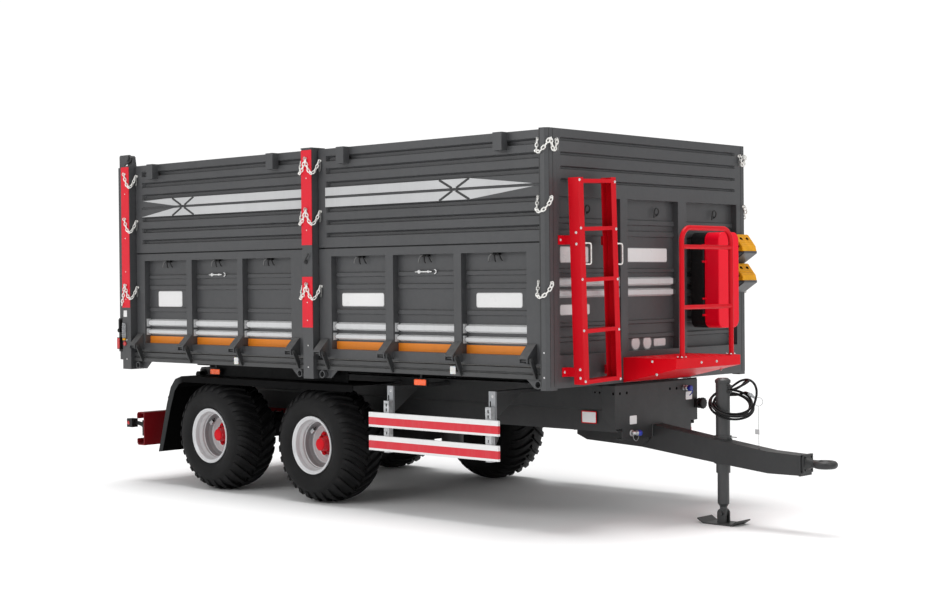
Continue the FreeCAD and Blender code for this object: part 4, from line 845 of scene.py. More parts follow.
# dark lines at the corner posts' folds and at the gap behind them: painted shade
fold_shade_lines = Mesh()
for s in (-1, 1):
    fold_shade_lines.slab([(X0 - 0.0665, 0.960), (X0 - 0.0575, 0.960), (X0 - 0.0575, 2.634), (X0 - 0.0665, 2.634)], "y", s * 1.1498, s * 1.1507)
    for y, w in ((1.1270, 0.0022), (1.0890, 0.0030)):
        fold_shade_lines.slab([(s * y - w, 0.960), (s * y + w, 0.960), (s * y + w, 2.634), (s * y - w, 2.634)], "x", X0 - 0.0002, X0 + 0.0007)
fold_shade_lines.object("corner_post_fold_shade_lines", "seam", "bed")

# ---------------------------------------------------------------- chains
LINK_L, LINK_W, WIRE_R = 0.040, 0.027, 0.0044


def link(mesh, at, along, flat):
    """one oval link; along is its long axis and flat its plane's other axis"""
    u = Vector(along).normalized()
    w = Vector(flat)
    w = (w - u * w.dot(u)).normalized()
    hl, hw = LINK_L / 2 - WIRE_R, LINK_W / 2 - WIRE_R
    pts = []
    k = 5
    for i in range(k + 1):
        a = -math.pi / 2 + math.pi * i / k
        pts.append(u * (hl - hw + hw * math.cos(a)) + w * (hw * math.sin(a)))
    for i in range(k + 1):
        a = math.pi / 2 + math.pi * i / k
        pts.append(u * (-(hl - hw) + hw * math.cos(a)) + w * (hw * math.sin(a)))
    mesh.tube([Vector(at) + p for p in pts], WIRE_R, 7, True)


def sag_points(stops, drop, step):
    """points a chain link's pitch apart along a hanging line that passes over the stops"""
    stops = [Vector(q) for q in stops]
    run = [0.0]
    for q, w in zip(stops, stops[1:]):
        run.append(run[-1] + (w - q).length)
    fine = []
    for i in range(161):
        t = i / 160
        d = t * run[-1]
        k = min(len(stops) - 2, max(j for j in range(len(run)) if run[j] <= d + 1e-9))
        p = stops[k].lerp(stops[k + 1], (d - run[k]) / (run[k + 1] - run[k]))
        p.z = stops[0].z + (stops[-1].z - stops[0].z) * t - drop * 4 * t * (1 - t)
        fine.append(p)
    length = sum((q - p).length for p, q in zip(fine, fine[1:]))
    count = max(2, round(length / step))
    out, acc, k = [], 0.0, 0
    for p, q in zip(fine, fine[1:]):
        d = (q - p).length
        while k < count and acc + d >= (k + 0.5) * length / count:
            t = ((k + 0.5) * length / count - acc) / d
            out.append((p.lerp(q, t), (q - p).normalized()))
            k += 1
        acc += d
    return out


CHAINS = {}


HOOKS = {}


def chain_mesh(body):
    return CHAINS.setdefault(body, Mesh())


def hook_mesh(body):
    return HOOKS.setdefault(body, Mesh())


def chain(stops, drop, body_of, out):
    for i, (p, d) in enumerate(sag_points(stops, drop, LINK_L - 3.1 * WIRE_R)):
        side = Vector(out)
        if abs(d.x) < 0.6 * abs(d.y):
            side = Vector((1, 0, 0))
        flat = side if i % 2 else d.cross(side)
        tilt = 0.5
        w = Matrix.Rotation(tilt, 3, d) @ flat
        link(chain_mesh(body_of(p)), p, d, w)


def eye(mesh, at, normal, r=0.011):
    """ring standing out of a plate on a short shank"""
    n = Vector(normal)
    c = Vector(at) + n * (r + 0.003)
    t = Vector((0, 0, 1))
    side = n.cross(t)
    pts = [c + (n * math.cos(a) + t * math.sin(a)) * r for a in [2 * math.pi * i / 14 for i in range(14)]]
    mesh.tube(pts, 0.0034, 7, True)
    mesh.turned([(0.010, -0.0005), (0.010, 0.003), (0.006, 0.005), (0, 0.005)], facing(n, at), 12, True)


def hook(mesh, at, out, down=0.060):
    """snap hook hanging from the chain's last link"""
    o = Vector(out) * 0.010
    p = Vector(at)
    pts = [p + o * 0.2 + Vector((0, 0, 0.006)), p + o, p + o * 1.1 + Vector((0, 0, -down * 0.45)), p + o * 0.9 + Vector((0, 0, -down * 0.85)), p + o * 0.2 + Vector((0, 0, -down)), p - o * 0.35 + Vector((0, 0, -down * 0.9)), p - o * 0.40 + Vector((0, 0, -down * 0.66))]
    mesh.tube(pts, [0.0030, 0.0036, 0.0036, 0.0038, 0.0036, 0.0032, 0.0024], 7)


def upright(post_lo, post_hi, s, level, span_to, panel):
    """chain from the post's middle to an eye on the side panel; span_to is the x of that eye"""
    xc = (post_lo + post_hi) / 2
    a = Vector((xc, s * 1.1640, level))
    b = Vector((span_to, s * 1.1060, level - 0.016))
    lo, hi = post_lo - 0.008, post_hi + 0.008
    edge = hi + 0.004 if span_to > xc else lo - 0.004
    turn = Vector((edge, s * 1.1640, level))
    chain((a, turn, b), 0.098, lambda p: "bed" if lo <= p.x <= hi else panel, (0, s, 0))
    eye(chain_mesh("bed"), (xc, s * (1.1540 if level > 1.9 or level < 1.7 else 1.1500), level + 0.004), (0, s, 0))
    eye(chain_mesh(panel), (span_to, s * 1.0900, level - 0.014), (0, s, 0), 0.009)
    hook(hook_mesh(panel), (span_to, s * 1.1020, level - 0.026), (1 if span_to > xc else -1, 0, 0), 0.066)


for side, s in (("right", -1), ("left", 1)):
    for level in (2.560, 2.185, 1.632):
        row = "upper_side" if level > 1.9 else "lower_side"
        rear, front = "%s_rear_%s" % (row, side), "%s_front_%s" % (row, side)
        upright(X0 - 4.664, X0 - 4.555, s, level, X0 - 4.528, rear)
        upright(X0 - 2.380, X0 - 2.270, s, level, X0 - 2.436, rear)
        upright(X0 - 2.380, X0 - 2.270, s, level, X0 - 2.236, front)
        # front corner: from the side panel's front edge round the post to the front wall
        stops = [(X0 - 0.118, s * 1.104, level), (X0 - 0.082, s * 1.160, level), (X0 - 0.018, s * 1.1635, level), (X0 + 0.012, s * 1.137, level)]
        if level < 2.5:
            stops.append((X0 + 0.015, s * 1.120, level - 0.004))
        chain(stops, 0.090 if level < 2.5 else 0.080, lambda p, f=front: f if p.x < X0 - 0.074 else "bed", (0, s, 0))
        eye(chain_mesh(front), (X0 - 0.118, s * 1.0900, level + 0.008), (0, s, 0), 0.009)
        hook(hook_mesh(front), (X0 - 0.121, s * 1.101, level - 0.004), (-1, 0, 0), 0.060)
        eye(chain_mesh("bed"), (X0 + 0.0005, s * (1.117 if level < 2.5 else 1.124), level), (1, 0, 0), 0.009)
    # upper corner chain's second run, across the front wall
    chain(((X0 + 0.016, s * 1.126, 2.560), (X0 + 0.016, s * 1.064, 2.554)), 0.066, lambda p: "bed", (1, 0, 0))
    eye(chain_mesh("bed"), (X0 + 0.0005, s * 1.061, 2.558), (1, 0, 0), 0.009)
    hook(hook_mesh("bed"), (X0 + 0.014, s * 1.059, 2.542), (0, -s, 0), 0.056)
    # spare end left hanging by the rear post's lowest eye
    chain(((X0 - 4.6125, s * 1.166, 1.640), (X0 - 4.664, s * 1.160, 1.470)), 0.012, lambda p: "bed", (0, s, 0))
for body, mesh in CHAINS.items():
    mesh.object("chains_" + body, "chain", body)
for body, mesh in HOOKS.items():
    mesh.object("chain_hooks_" + body, "hook_steel", body)

# ----------------------------------------------------------- front fittings
LEAN = math.tan(math.radians(2.05))


def lean(z):
    return (2.320 - z) * LEAN


red_bolts = Mesh()
for z in (2.296, 1.985, 1.653, 1.320, 0.990):
    for y in (-0.988, -0.617):
        bolt(red_bolts, (1.7972, y + lean(z), z), (1, 0, 0), 0.0065)
for z in (1.956, 1.882, 1.067, 1.012):
    bolt(red_bolts, (1.766, -1.0005 + lean(z), z), (0, -1, 0), 0.0065)
    bolt(red_bolts, (1.766, -0.6045 + lean(z), z), (0, 1, 0), 0.0065)
for y, z in ((-0.071, 1.086), (0.109, 1.086)):
    bolt(red_bolts, (2.1003, y, z), (1, 0, 0), 0.0065)
for x, z in ((1.904, 1.098), (1.940, 1.012)):
    for s, y in ((-1, -0.3603), (1, 0.4003)):
        bolt(red_bolts, (x, y, z), (0, s, 0), 0.0065)
for y in (-0.265, 0.317):
    for dx, dy in ((-0.022, -0.022), (0.011, -0.022), (-0.022, 0.022), (0.011, 0.022)):
        bolt(red_bolts, (2.082 + dx, y + dy, 1.1272), (0, 0, 1), 0.006)
for y in (-1.038, -0.585):
    for z in (1.910, 1.050):
        dome(red_bolts, (1.6665, y + lean(z), z), (1, 0, 0), 0.009, 0.004)
red_bolts.object("bolts_front", "bolt", "bed")

# anti-slip edging and pressed collars on the step
tread = Mesh()
for i in range(5):
    for j in range(8):
        x, y = 1.66 + 0.060 + i * 0.080, -0.360 + 0.060 + j * 0.091
        m = Matrix.Translation((x, y, 1.120))
        tread.turned([(0.0142, -0.0055), (0.0142, 0.0012), (0.0155, 0.0021), (0.0176, 0.0012), (0.0186, -0.0002)], m, 18, True)
tread.object("step_collars", "step", "bed")

# grab handles beside the ladder's rails
grab = Mesh()
for y0, y1 in ((-0.950 + lean(1.82), -0.872 + lean(1.82)), (-0.6035 + lean(1.82), -0.538 + lean(1.82))):
    x = 1.783
    pts = [(x, y0, 1.888), (x, y0 + 0.02, 1.889)]
    for cz, a0 in ((1.889 - 0.016, 90), (1.752 + 0.016, 0)):
        for k in range(5):
            a = math.radians(a0 - 90 * k / 4)
            pts.append((x, y1 - 0.016 + 0.016 * math.cos(a), cz + 0.016 * math.sin(a)))
    pts += [(x, y0 + 0.02, 1.752), (x, y0, 1.753)]
    grab.tube(pts, 0.0052, 10)
    for z in (1.888, 1.753):
        grab.turned([(0.0115, -0.001), (0.0115, 0.004), (0.008, 0.006), (0.005, 0.006)], facing((0, 1, 0), (x, y0 + 0.0005, z)), 14, True)
grab.object("grab_handles", "chain", "bed")


def rope_hook(mesh, at, out, across, w=0.030, h=0.046):
    """bent-rod rope hook welded to a wall; out is away from the wall"""
    p, o, c = Vector(at), Vector(out), Vector(across)
    z = Vector((0, 0, 1))
    pts = [p - o * 0.004 - c * w, p + o * 0.012 - c * w, p + o * 0.021 - c * w * 0.95 + z * 0.010]
    for k in range(7):
        a = math.pi - math.pi * k / 6
        pts.append(p + o * 0.024 + c * (w * math.cos(a)) + z * (h * 0.55 + w * math.sin(a)))
    pts += [p + o * 0.023 + c * w + z * 0.012, p + o * 0.020 + c * w * 1.05 - z * 0.006, p + o * 0.024 + c * w * 1.3 - z * 0.018]
    mesh.tube(pts, 0.0050, 8)
    mesh.turned([(0.011, -0.001), (0.010, 0.003), (0.006, 0.0065)], facing(o, p - o * 0.001 - c * w), 12, True)


front_hooks = Mesh()
for y in (-0.700, 0.072, 0.782):
    rope_hook(front_hooks, (1.608, y, 2.098), (1, 0, 0), (0, -1, 0), 0.024, 0.044)
front_hooks.object("rope_hooks_front", "drawbar", "bed")

# hooks, pegs and ring bolts of the lower sides
BAYS = {"rear": ((-4.435, -3.870), (-3.800, -3.222), (-3.157, -2.580)), "front": ((-2.130, -1.560), (-1.482, -0.890), (-0.820, -0.232))}
for side, s in (("right", -1), ("left", 1)):
    for where, bays in BAYS.items():
        body = "lower_side_%s_%s" % (where, side)
        hooks, pegs, lit_legs = Mesh(), Mesh(), Mesh()
        for k, (a, b) in enumerate(bays):
            xm = X0 + (a + b) / 2 - 0.010
            zt = 1.836
            for dx, lean, d in ((-0.046, -0.012, 0.046), (0.0, 0.0, 0.050), (0.046, 0.012, 0.046)):
                y0 = s * 1.036
                pts = [(xm + dx * 0.35, s * 1.040, zt + 0.001), (xm + dx * 0.7, s * 1.060, zt - 0.006), (xm + dx, s * 1.064, zt - 0.020), (xm + dx + lean, s * 1.060, zt - d), (xm + dx + lean * 1.3, s * 1.052, zt - d - 0.008)]
                # each hook's left leg is drawn in lighter wire steel as a painted highlight
                (lit_legs if dx < 0 else hooks).tube(pts, 0.0048, 8)
            hooks.box((xm - 0.034, s * 1.0355, zt - 0.014), (xm + 0.034, s * 1.0560, zt + 0.0005), 0.003)
            if k == 1:
                z = 1.7165
                pegs.tube([(xm - 0.100, s * 1.0535, z), (xm - 0.092, s * 1.0560, z), (xm + 0.055, s * 1.0560, z), (xm + 0.062, s * 1.0535, z)], [0.003, 0.0052, 0.0052, 0.003], 8)
                pegs.turned([(0.0125, -0.002), (0.0135, 0.002), (0.0135, 0.008), (0.011, 0.0105), (0, 0.0105)], facing((0, s, 0), (xm - 0.058, s * 1.0520, z)), 16, True)
                pegs.turned([(0.009, -0.002), (0.0095, 0.002), (0.0095, 0.007), (0, 0.008)], facing((0, s, 0), (xm + 0.030, s * 1.0520, z)), 6, False)
                ring = [(xm + 0.094 + 0.0135 * math.cos(t), s * 1.0555, z + 0.0135 * math.sin(t)) for t in [math.radians(-105 + 21 * i) for i in range(11)]]
                pegs.tube(ring, 0.0040, 8)
            # black domes where the ridges end: painted shade of the ridge ends
            for z in (1.717, 1.625):
                dome(hooks, (X0 + a + 0.018, s * 1.0352, z), (0, s, 0), 0.0065, 0.003, 10)
                dome(hooks, (X0 + b - 0.018, s * 1.0352, z), (0, s, 0), 0.0065, 0.003, 10)
        hooks.object("bay_hooks_%s_%s" % (where, side), "black", body)
        lit_legs.object("bay_hook_lit_legs_%s_%s" % (where, side), "wire", body)
        pegs.object("bay_bolt_%s_%s" % (where, side), "bolt", body)

# blank plates
for side, s in (("right", -1), ("left", 1)):
    for where, spots in (("rear", ((-4.320, -3.995, 1.455, 1.588),)), ("front", ((-2.074, -1.627, 1.469, 1.570), (-0.731, -0.312, 1.466, 1.570)))):
        lab, inner = Mesh(), Mesh()
        for xa, xb, za, zb in spots:
            xa, xb = X0 + xa, X0 + xb
            lab.slab(rounded(xa, xb, za, zb, 0.018), "y", s * 1.0345, s * 1.0362)
            inner.slab(rounded(xa + 0.004, xb - 0.004, za + 0.004, zb - 0.004, 0.014), "y", s * 1.0355, s * 1.0366)
        lab.object("plate_edge_%s_%s" % (where, side), "label_grey", "lower_side_%s_%s" % (where, side))
        inner.object("plate_%s_%s" % (where, side), "label", "lower_side_%s_%s" % (where, side))

lab, inner = Mesh(), Mesh()
for ya, yb, za, zb in ((-0.245, 0.222, 1.768, 1.868), (-0.965, -0.665, 1.762, 1.872), (-0.968, -0.655, 1.417, 1.490), (0.055, 0.199, 1.178, 1.236)):
    lab.slab(rounded(ya, yb, za, zb, 0.016), "x", 1.6075, 1.6096)
    inner.slab(rounded(ya + 0.004, yb - 0.004, za + 0.004, zb - 0.004, 0.012), "x", 1.6088, 1.6101)
for y in (-0.152, -0.018):
    m = facing((1, 0, 0), (1.6078, y, 1.209))
    lab.turned([(0.052, 0.0), (0.052, 0.0016), (0, 0.0018)], m, 32, True)
    inner.turned([(0.044, 0.001), (0.044, 0.0024), (0, 0.0026)], m, 32, True)
lab.object("plate_edge_bulkhead", "label_grey", "bed")
inner.object("plate_bulkhead", "label", "bed")

# plate with a square hole behind the ladder's head
back = Mesh()
back.box((1.606, -1.020, 2.212), (1.642, -0.640, 2.292), 0.004)
back.object("ladder_head_plate", "panel", "bed")
hole = Mesh()
# dark box: painted shade inside the square hole
hole.box((1.630, -0.742, 2.216), (1.6432, -0.655, 2.288), 0.002)
hole.object("ladder_head_socket", "void", "bed")

# bolts, cap, lever on the posts
post_bolts = Mesh()
for s in (-1, 1):
    for x, zs in ((X0 - 2.325, (2.035, 2.420, 1.367, 1.500)), (X0 - 4.6125, (2.400, 2.030, 1.520, 1.750))):
        for z in zs:
            dome(post_bolts, (x, s * 1.1540, z), (0, s, 0), 0.0052, 0.0036)
    for x in (X0 - 4.6125, X0 - 2.325, X0 - 0.035):
        for z in (1.020, 1.180):
            dome(post_bolts, (x, s * 1.1500, z), (0, s, 0), 0.0058, 0.0038)
post_bolts.object("post_bolts", "bolt", "bed")
caps = Mesh()
for s in (-1, 1):
    caps.box((X0 - 2.378, s * 1.098, 2.6285), (X0 - 2.272, s * 1.1495, 2.6425), 0.003)
caps.object("middle_post_caps", "label", "bed")
lever = Mesh()
for s in (-1, 1):
    lever.turned([(0.017, -0.001), (0.017, 0.008), (0.013, 0.012), (0.006, 0.012), (0.006, 0.020), (0, 0.021)], facing((0, s, 0), (X0 - 2.340, s * 1.150, 1.800)), 18, True)
    lever.tube([(X0 - 2.340, s * 1.166, 1.800), (X0 - 2.325, s * 1.168, 1.822), (X0 - 2.305, s * 1.168, 1.846), (X0 - 2.298, s * 1.166, 1.862)], [0.006, 0.0055, 0.0055, 0.0065], 10)
lever.object("post_levers", "drawbar", "bed")

# reflectors and lamps
refl, lens, lens_red = Mesh(), Mesh(), Mesh()
for s in (-1, 1):
    for x in (X0 - 3.211, X0 - 0.880):
        refl.slab(rounded(x - 0.026, x + 0.026, 1.014, 1.068, 0.006), "y", s * 1.1135, s * 1.1185, 0.0015)
    for x in (X0 - 3.580, X0 - 1.275):
        lens.slab(rounded(x - 0.058, x + 0.058, 0.919, 0.961, 0.008), "y", s * 1.0335, s * 1.0405, 0.003)
    lens_red.slab(rounded(X0 - 4.727, X0 - 4.693, 1.104, 1.196, 0.008), "y", s * 1.1655, s * 1.1715, 0.003)
refl.object("side_reflectors", "white_lens", "bed")
lens.object("side_marker_lenses", "orange_lens", "bed")
lens_red.object("gate_lamp_lenses", "red_lens", "bed")
tail, tail_o, tail_b = Mesh(), Mesh(), Mesh()
for s in (-1, 1):
    ya, yb = s * 1.034, s * 1.086
    lo, hi = min(ya, yb), max(ya, yb)
    tail.slab(rounded(lo, hi, 0.446, 0.478, 0.006), "x", X0 - 4.7115, X0 - 4.7175, 0.003)
    tail_o.slab(rounded(lo, hi, 0.481, 0.507, 0.006), "x", X0 - 4.7115, X0 - 4.7175, 0.003)
    tail.turned([(0.016, 0.0), (0.016, 0.003), (0.012, 0.006), (0, 0.007)], facing((0, s, 0), (X0 - 4.690, s * 1.0895, 0.476)), 20, True)
    for z in (0.384, 0.400, 0.482, 0.494):
        bolt(tail_b, (X0 - 4.505, s * 1.0482, z), (0, s, 0), 0.0065)
    for x, z in ((X0 - 4.505, 0.440),):
        bolt(tail_b, (x, s * 1.0562, z), (0, s, 0), 0.0075)
tail.object("tail_lamp_lenses", "red_lens", "chassis")
tail_o.object("tail_turn_lenses", "orange_lens", "chassis")
tail_b.object("tail_lamp_bolts", "bolt", "chassis")

# --------------------------------------------------------------- headstock
holes, hs_bolts, blue, clips, hs_lab = Mesh(), Mesh(), Mesh(), Mesh(), Mesh()
# dark discs: painted shade of the headstock's holes
for y, z in ((-0.4998, 0.8806), (-0.4262, 0.8777), (-0.3495, 0.8787), (0.1479, 0.8791), (0.2282, 0.8778)):
    holes.turned([(0.0100, -0.001), (0.0100, 0.0007), (0, 0.0007)], facing((1, 0, 0), (1.6800, y, z)), 18, True)
holes.object("headstock_holes", "void", "chassis")
# black coupling socket on a bracket at the headstock's far edge
sock = Mesh()
SY, SZ = 0.4834, 0.7596
m = facing((1, 0, 0), (1.6880, SY, SZ))
sock.turned([(0.034, -0.001), (0.0375, 0.003), (0.0375, 0.012), (0.032, 0.016), (0.032, 0.030), (0.0375, 0.034), (0.0375, 0.046), (0.034, 0.050), (0.012, 0.052), (0, 0.052)], m, 28, True)
for k in range(12):
    a = 2 * math.pi * k / 12
    c = Vector((1.722, SY + 0.0372 * math.cos(a), SZ + 0.0372 * math.sin(a)))
    sock.box(c - Vector((0.010, 0.0028, 0.0028)), c + Vector((0.014, 0.0028, 0.0028)), 0.0008)
sock.slab([(0.440, SZ - 0.030), (SY + 0.030, SZ - 0.030), (SY + 0.030, SZ + 0.030), (0.440, SZ + 0.030)], "x", 1.6802, 1.6878)
sock.object("coupling_socket", "black", "chassis")
m = facing((1, 0, 0), (1.6800, 0.3155, 0.8786))
clips.turned([(0.019, -0.001), (0.019, 0.004), (0.015, 0.006), (0.015, 0.018), (0.018, 0.020), (0.018, 0.030), (0.013, 0.033)], m, 20, True)
m = facing((1, 0, 0), (1.6800, 0.3383, 0.8763))
clips.turned([(0.014, -0.001), (0.014, 0.028), (0.016, 0.030)], m, 18, True)
blue.turned([(0.016, 0.026), (0.0200, 0.028), (0.0205, 0.044), (0.017, 0.050), (0, 0.052)], m, 20, True)
blue.tube([(1.722, 0.3383 + 0.016, 0.8763 - 0.006), (1.718, 0.3383 + 0.030, 0.8763 - 0.020), (1.708, 0.3383 + 0.034, 0.8763 - 0.040), (1.694, 0.3383 + 0.026, 0.8763 - 0.056)], 0.0040, 8)
CY, CZ = -0.302, 0.602
clips.turned([(0.022, -0.001), (0.022, 0.006), (0.017, 0.009), (0.017, 0.022)], facing((1, 0, 0), (1.6800, CY, CZ)), 20, True)
clips.turned([(0.014, -0.012), (0.014, 0.018), (0.018, 0.020), (0.018, 0.032), (0.013, 0.034)], facing((0.55, 1, 0), (1.6990, CY, CZ)), 20, True)
blue.turned([(0.015, 0.031), (0.0195, 0.033), (0.0200, 0.052), (0.016, 0.059), (0, 0.061)], facing((0.55, 1, 0), (1.6990, CY, CZ)), 20, True)
loop = []
for k in range(15):
    a = math.pi * (1.0 + k / 14)
    loop.append((1.7020, CY + 0.024 + 0.034 * math.cos(a), CZ - 0.004 + 0.050 * math.sin(a)))
clips.tube(loop, 0.0017, 6)
clips.object("couplers_steel", "zinc", "chassis")
blue.object("coupler_caps", "blue", "chassis")
for ya, yb, za, zb in ((0.3383, 0.4149, 0.7909, 0.8482), (-0.3191, -0.2409, 0.6613, 0.7194)):
    hs_lab.slab(rounded(ya, yb, za, zb, 0.006), "x", 1.6795, 1.6812)
hs_lab.object("plates_headstock", "label", "chassis")
hs_lab = Mesh()
hs_lab.slab(rounded(1.382, 1.512, 0.668, 0.752, 0.006), "y", -0.4695, -0.4708)
hs_lab.object("plate_rail_edge", "red", "chassis")
hs_lab = Mesh()
hs_lab.slab(rounded(1.388, 1.506, 0.674, 0.746, 0.005), "y", -0.4700, -0.4713)
hs_lab.object("plate_rail", "label", "chassis")

# black strip filling the gap along the headstock's top edge: painted shade of that gap
strip = Mesh()
strip.box((1.6725, -0.478, 0.9305), (1.6795, 0.478, 0.9440), 0.002)
strip.object("headstock_gap_shade_strip", "gap_shade", "chassis")
# slots in the outriggers' galvanised plates and their bolts
slots, obolts = Mesh(), Mesh()
for s in (-1, 1):
    for x in (X0 - 1.561, X0 - 0.581):
        slots.slab(rounded(x - 0.020, x - 0.010, 0.800, 0.838, 0.004), "y", s * 1.0512, s * 1.0522)
        slots.slab(rounded(x + 0.008, x + 0.018, 0.748, 0.786, 0.004), "y", s * 1.0512, s * 1.0522)
        for z in (0.870, 0.722):
            bolt(obolts, (x + 0.006, s * 1.0517, z), (0, s, 0), 0.0065)
# dark slabs: painted shade of the slots
slots.object("outrigger_slots", "void", "chassis")
obolts.object("outrigger_bolts", "bolt", "chassis")
# latch, tab, lamp and small plate low on the rear posts
latch, tab, lamp, small = Mesh(), Mesh(), Mesh(), Mesh()
for s in (-1, 1):
    x = X0 - 4.640
    latch.box((x - 0.018, s * 1.1505, 1.196), (x + 0.018, s * 1.1600, 1.318), 0.002)
    pts = []
    for k in range(61):
        a = 2 * math.pi * k / 10
        pts.append((x + 0.009 * math.cos(a), s * (1.1695 + 0.0075 * math.sin(a)), 1.205 + 0.098 * k / 60))
    latch.tube(pts, 0.0018, 6)
    latch.tube([(x, s * 1.1695, 1.192), (x, s * 1.1695, 1.322)], 0.0042, 8)
    tab.box((x - 0.016, s * 1.1520, 1.176), (x + 0.016, s * 1.1640, 1.193), 0.002)
    lamp.turned([(0.019, -0.001), (0.020, 0.004), (0.018, 0.008), (0.010, 0.011), (0, 0.012)], facing((0, s, 0), (x + 0.002, s * 1.1500, 1.148)), 24, True)
    small.slab(rounded(x - 0.014, x + 0.034, 1.372, 1.426, 0.005), "y", s * 1.1497, s * 1.1514)
latch.object("rear_post_latches", "zinc", "bed")
tab.object("rear_post_tabs", "yellow", "bed")
# these reflectors take the red lens material and its faint glow: a painted glow, as they are no lamps
lamp.object("rear_post_reflectors", "red_lens", "bed")
small.object("rear_post_plates", "label", "bed")
# round knob on the mudguard's rear slope
knob = Mesh()
for s in (-1, 1):
    knob.turned([(0.010, -0.001), (0.010, 0.012), (0.016, 0.016), (0.017, 0.026), (0.012, 0.031), (0, 0.032)], facing((-1, 0, 0.35), (X0 - 4.094, s * 1.085, 0.708)), 18, True)
knob.object("mudguard_knobs", "black", "chassis")
# ribs, holes and grip of the two chocks
crib, chole = Mesh(), Mesh()
for z in (1.850, 1.635):
    for y in (0.9355, 1.1145):
        s = -1 if y < 1 else 1
        crib.slab([(1.676, z + 0.003), (1.676, z + 0.122), (1.690, z + 0.122), (1.690, z + 0.003)], "y", y - s * 0.002, y + s * 0.0035, 0.001)
        crib.slab([(1.690, z + 0.003), (1.776, z + 0.003), (1.774, z + 0.014), (1.690, z + 0.014)], "y", y - s * 0.002, y + s * 0.0035, 0.001)
        crib.slab([(1.696, z + 0.122), (1.703, z + 0.122), (1.768, z + 0.038), (1.760, z + 0.032)], "y", y - s * 0.002, y + s * 0.0035, 0.001)
        for x, h, r in ((1.706, 0.082, 0.0125), (1.708, 0.040, 0.0115), (1.736, 0.034, 0.0110)):
            chole.turned([(r, -0.0005), (r, 0.0012), (0, 0.0012)], facing((0, s, 0), (x, y + s * 0.0006, z + h)), 18, True)
    d = Vector((0.070, 0.0, -0.087)).normalized()
    n = Vector((0.087, 0.0, 0.070)).normalized()
    for k in range(5):
        c = Vector((1.700, 1.025, z + 0.125)) + d * (0.014 + 0.020 * k)
        crib.tube([c + Vector((0, -0.080, 0)), c + Vector((0, 0.080, 0))], 0.0035, 8)
    for y in (0.985, 1.065):
        chole.turned([(0.013, -0.0005), (0.013, 0.0045), (0, 0.0045)], facing(n, Vector((1.700, y, z + 0.125)) + d * 0.044), 18, True)
crib.object("chock_ribs", "yellow", "bed")
# dark discs: painted shade of the chocks' holes
chole.object("chock_holes", "void", "bed")

# welds where the beam meets the headstock
beads = Mesh()


def bead(mesh, a, b, r=0.0045, step=0.007):
    a, b = Vector(a), Vector(b)
    n = max(3, int((b - a).length / step))
    pts, rad = [], []
    for i in range(n + 1):
        pts.append(a.lerp(b, i / n))
        rad.append(r * (1.0 + (0.16 if i % 2 else -0.10) + 0.08 * (RNG.random() - 0.5)))
    mesh.tube(pts, rad, 7)


dlo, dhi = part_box("drawbar")
for s in (-1, 1):
    bead(beads, (1.6812, s * 0.0640, 0.560), (1.6812, s * 0.0640, 0.644))
bead(beads, (1.6812, -0.062, 0.6460), (1.6812, 0.062, 0.6460))
for s in (-1, 1):
    bead(beads, (2.175, s * 0.061, 0.5805), (2.292, s * 0.061, 0.5805), 0.003)
bead(beads, (2.864, -0.060, 0.500), (2.864, 0.060, 0.500), 0.005)
bead(beads, (2.864, -0.060, 0.404), (2.864, 0.060, 0.404), 0.005)
beads.object("drawbar_welds", "weld", "chassis")

# ---------------------------------------------------------------- hoses
JX, HEAD = 2.222, math.radians(42.7)


def along(right, away, up):
    return Vector((JX + (right * math.cos(HEAD) - away * math.sin(HEAD)) / 1000.0, (right * math.sin(HEAD) + away * math.cos(HEAD)) / 1000.0, up / 1000.0))


def spline(name, pts, r, material, body, n=5):
    cu = bpy.data.curves.new(name, "CURVE")
    cu.dimensions = "3D"
    cu.bevel_depth = r
    cu.bevel_resolution = n
    cu.use_fill_caps = True
    cu.resolution_u = 4
    sp = cu.splines.new("NURBS")
    sp.points.add(len(pts) - 1)
    for p, q in zip(sp.points, pts):
        p.co = (*q, 1.0)
    sp.order_u = 3
    sp.use_endpoint_u = True
    o = bpy.data.objects.new(name, cu)
    SCENE.collection.objects.link(o)
    cu.materials.append(M[material])
    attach(o, body)
    return o


HOSE_ROUTE = [(-20.0, 67.0, 592.0), (-20.0, 67.0, 634.0), (-23.0, 68.0, 676.0), (-30.0, 74.0, 720.0), (-34.0, 80.0, 763.0),
              (-33.0, 86.0, 799.0), (-22.0, 93.0, 834.0)]
def ring_point(a, major, dz, tilt=33.0, cx=62.0, cy=0.0, cz=803.0):
    t = math.radians(tilt)
    x, y = major * math.cos(a), major * math.sin(a)
    return (cx + x, cy + y * math.cos(t) - dz * math.sin(t), cz + y * math.sin(t) + dz * math.cos(t))


hose_pts = list(HOSE_ROUTE) + [(2.0, 104.0, 861.0)]


def wind(start, stop, steps):
    """part of the hose that runs round the jack tube, its turns laid beside each other"""
    for k in range(steps + 1):
        a = start + (stop - start) * k / steps
        p = math.radians(270.0 + (116.0 - a) / 360.0 * 84.0)
        late = min(1.0, max(0.0, (-1310.0 - a) / 60.0))
        r = 17.5 * min(1.0, (116.0 - a) / 90.0) + 5.0 * late * late * (3.0 - 2.0 * late)
        hose_pts.append(ring_point(math.radians(a), 138.0 + r * math.cos(p), r * math.sin(p)))


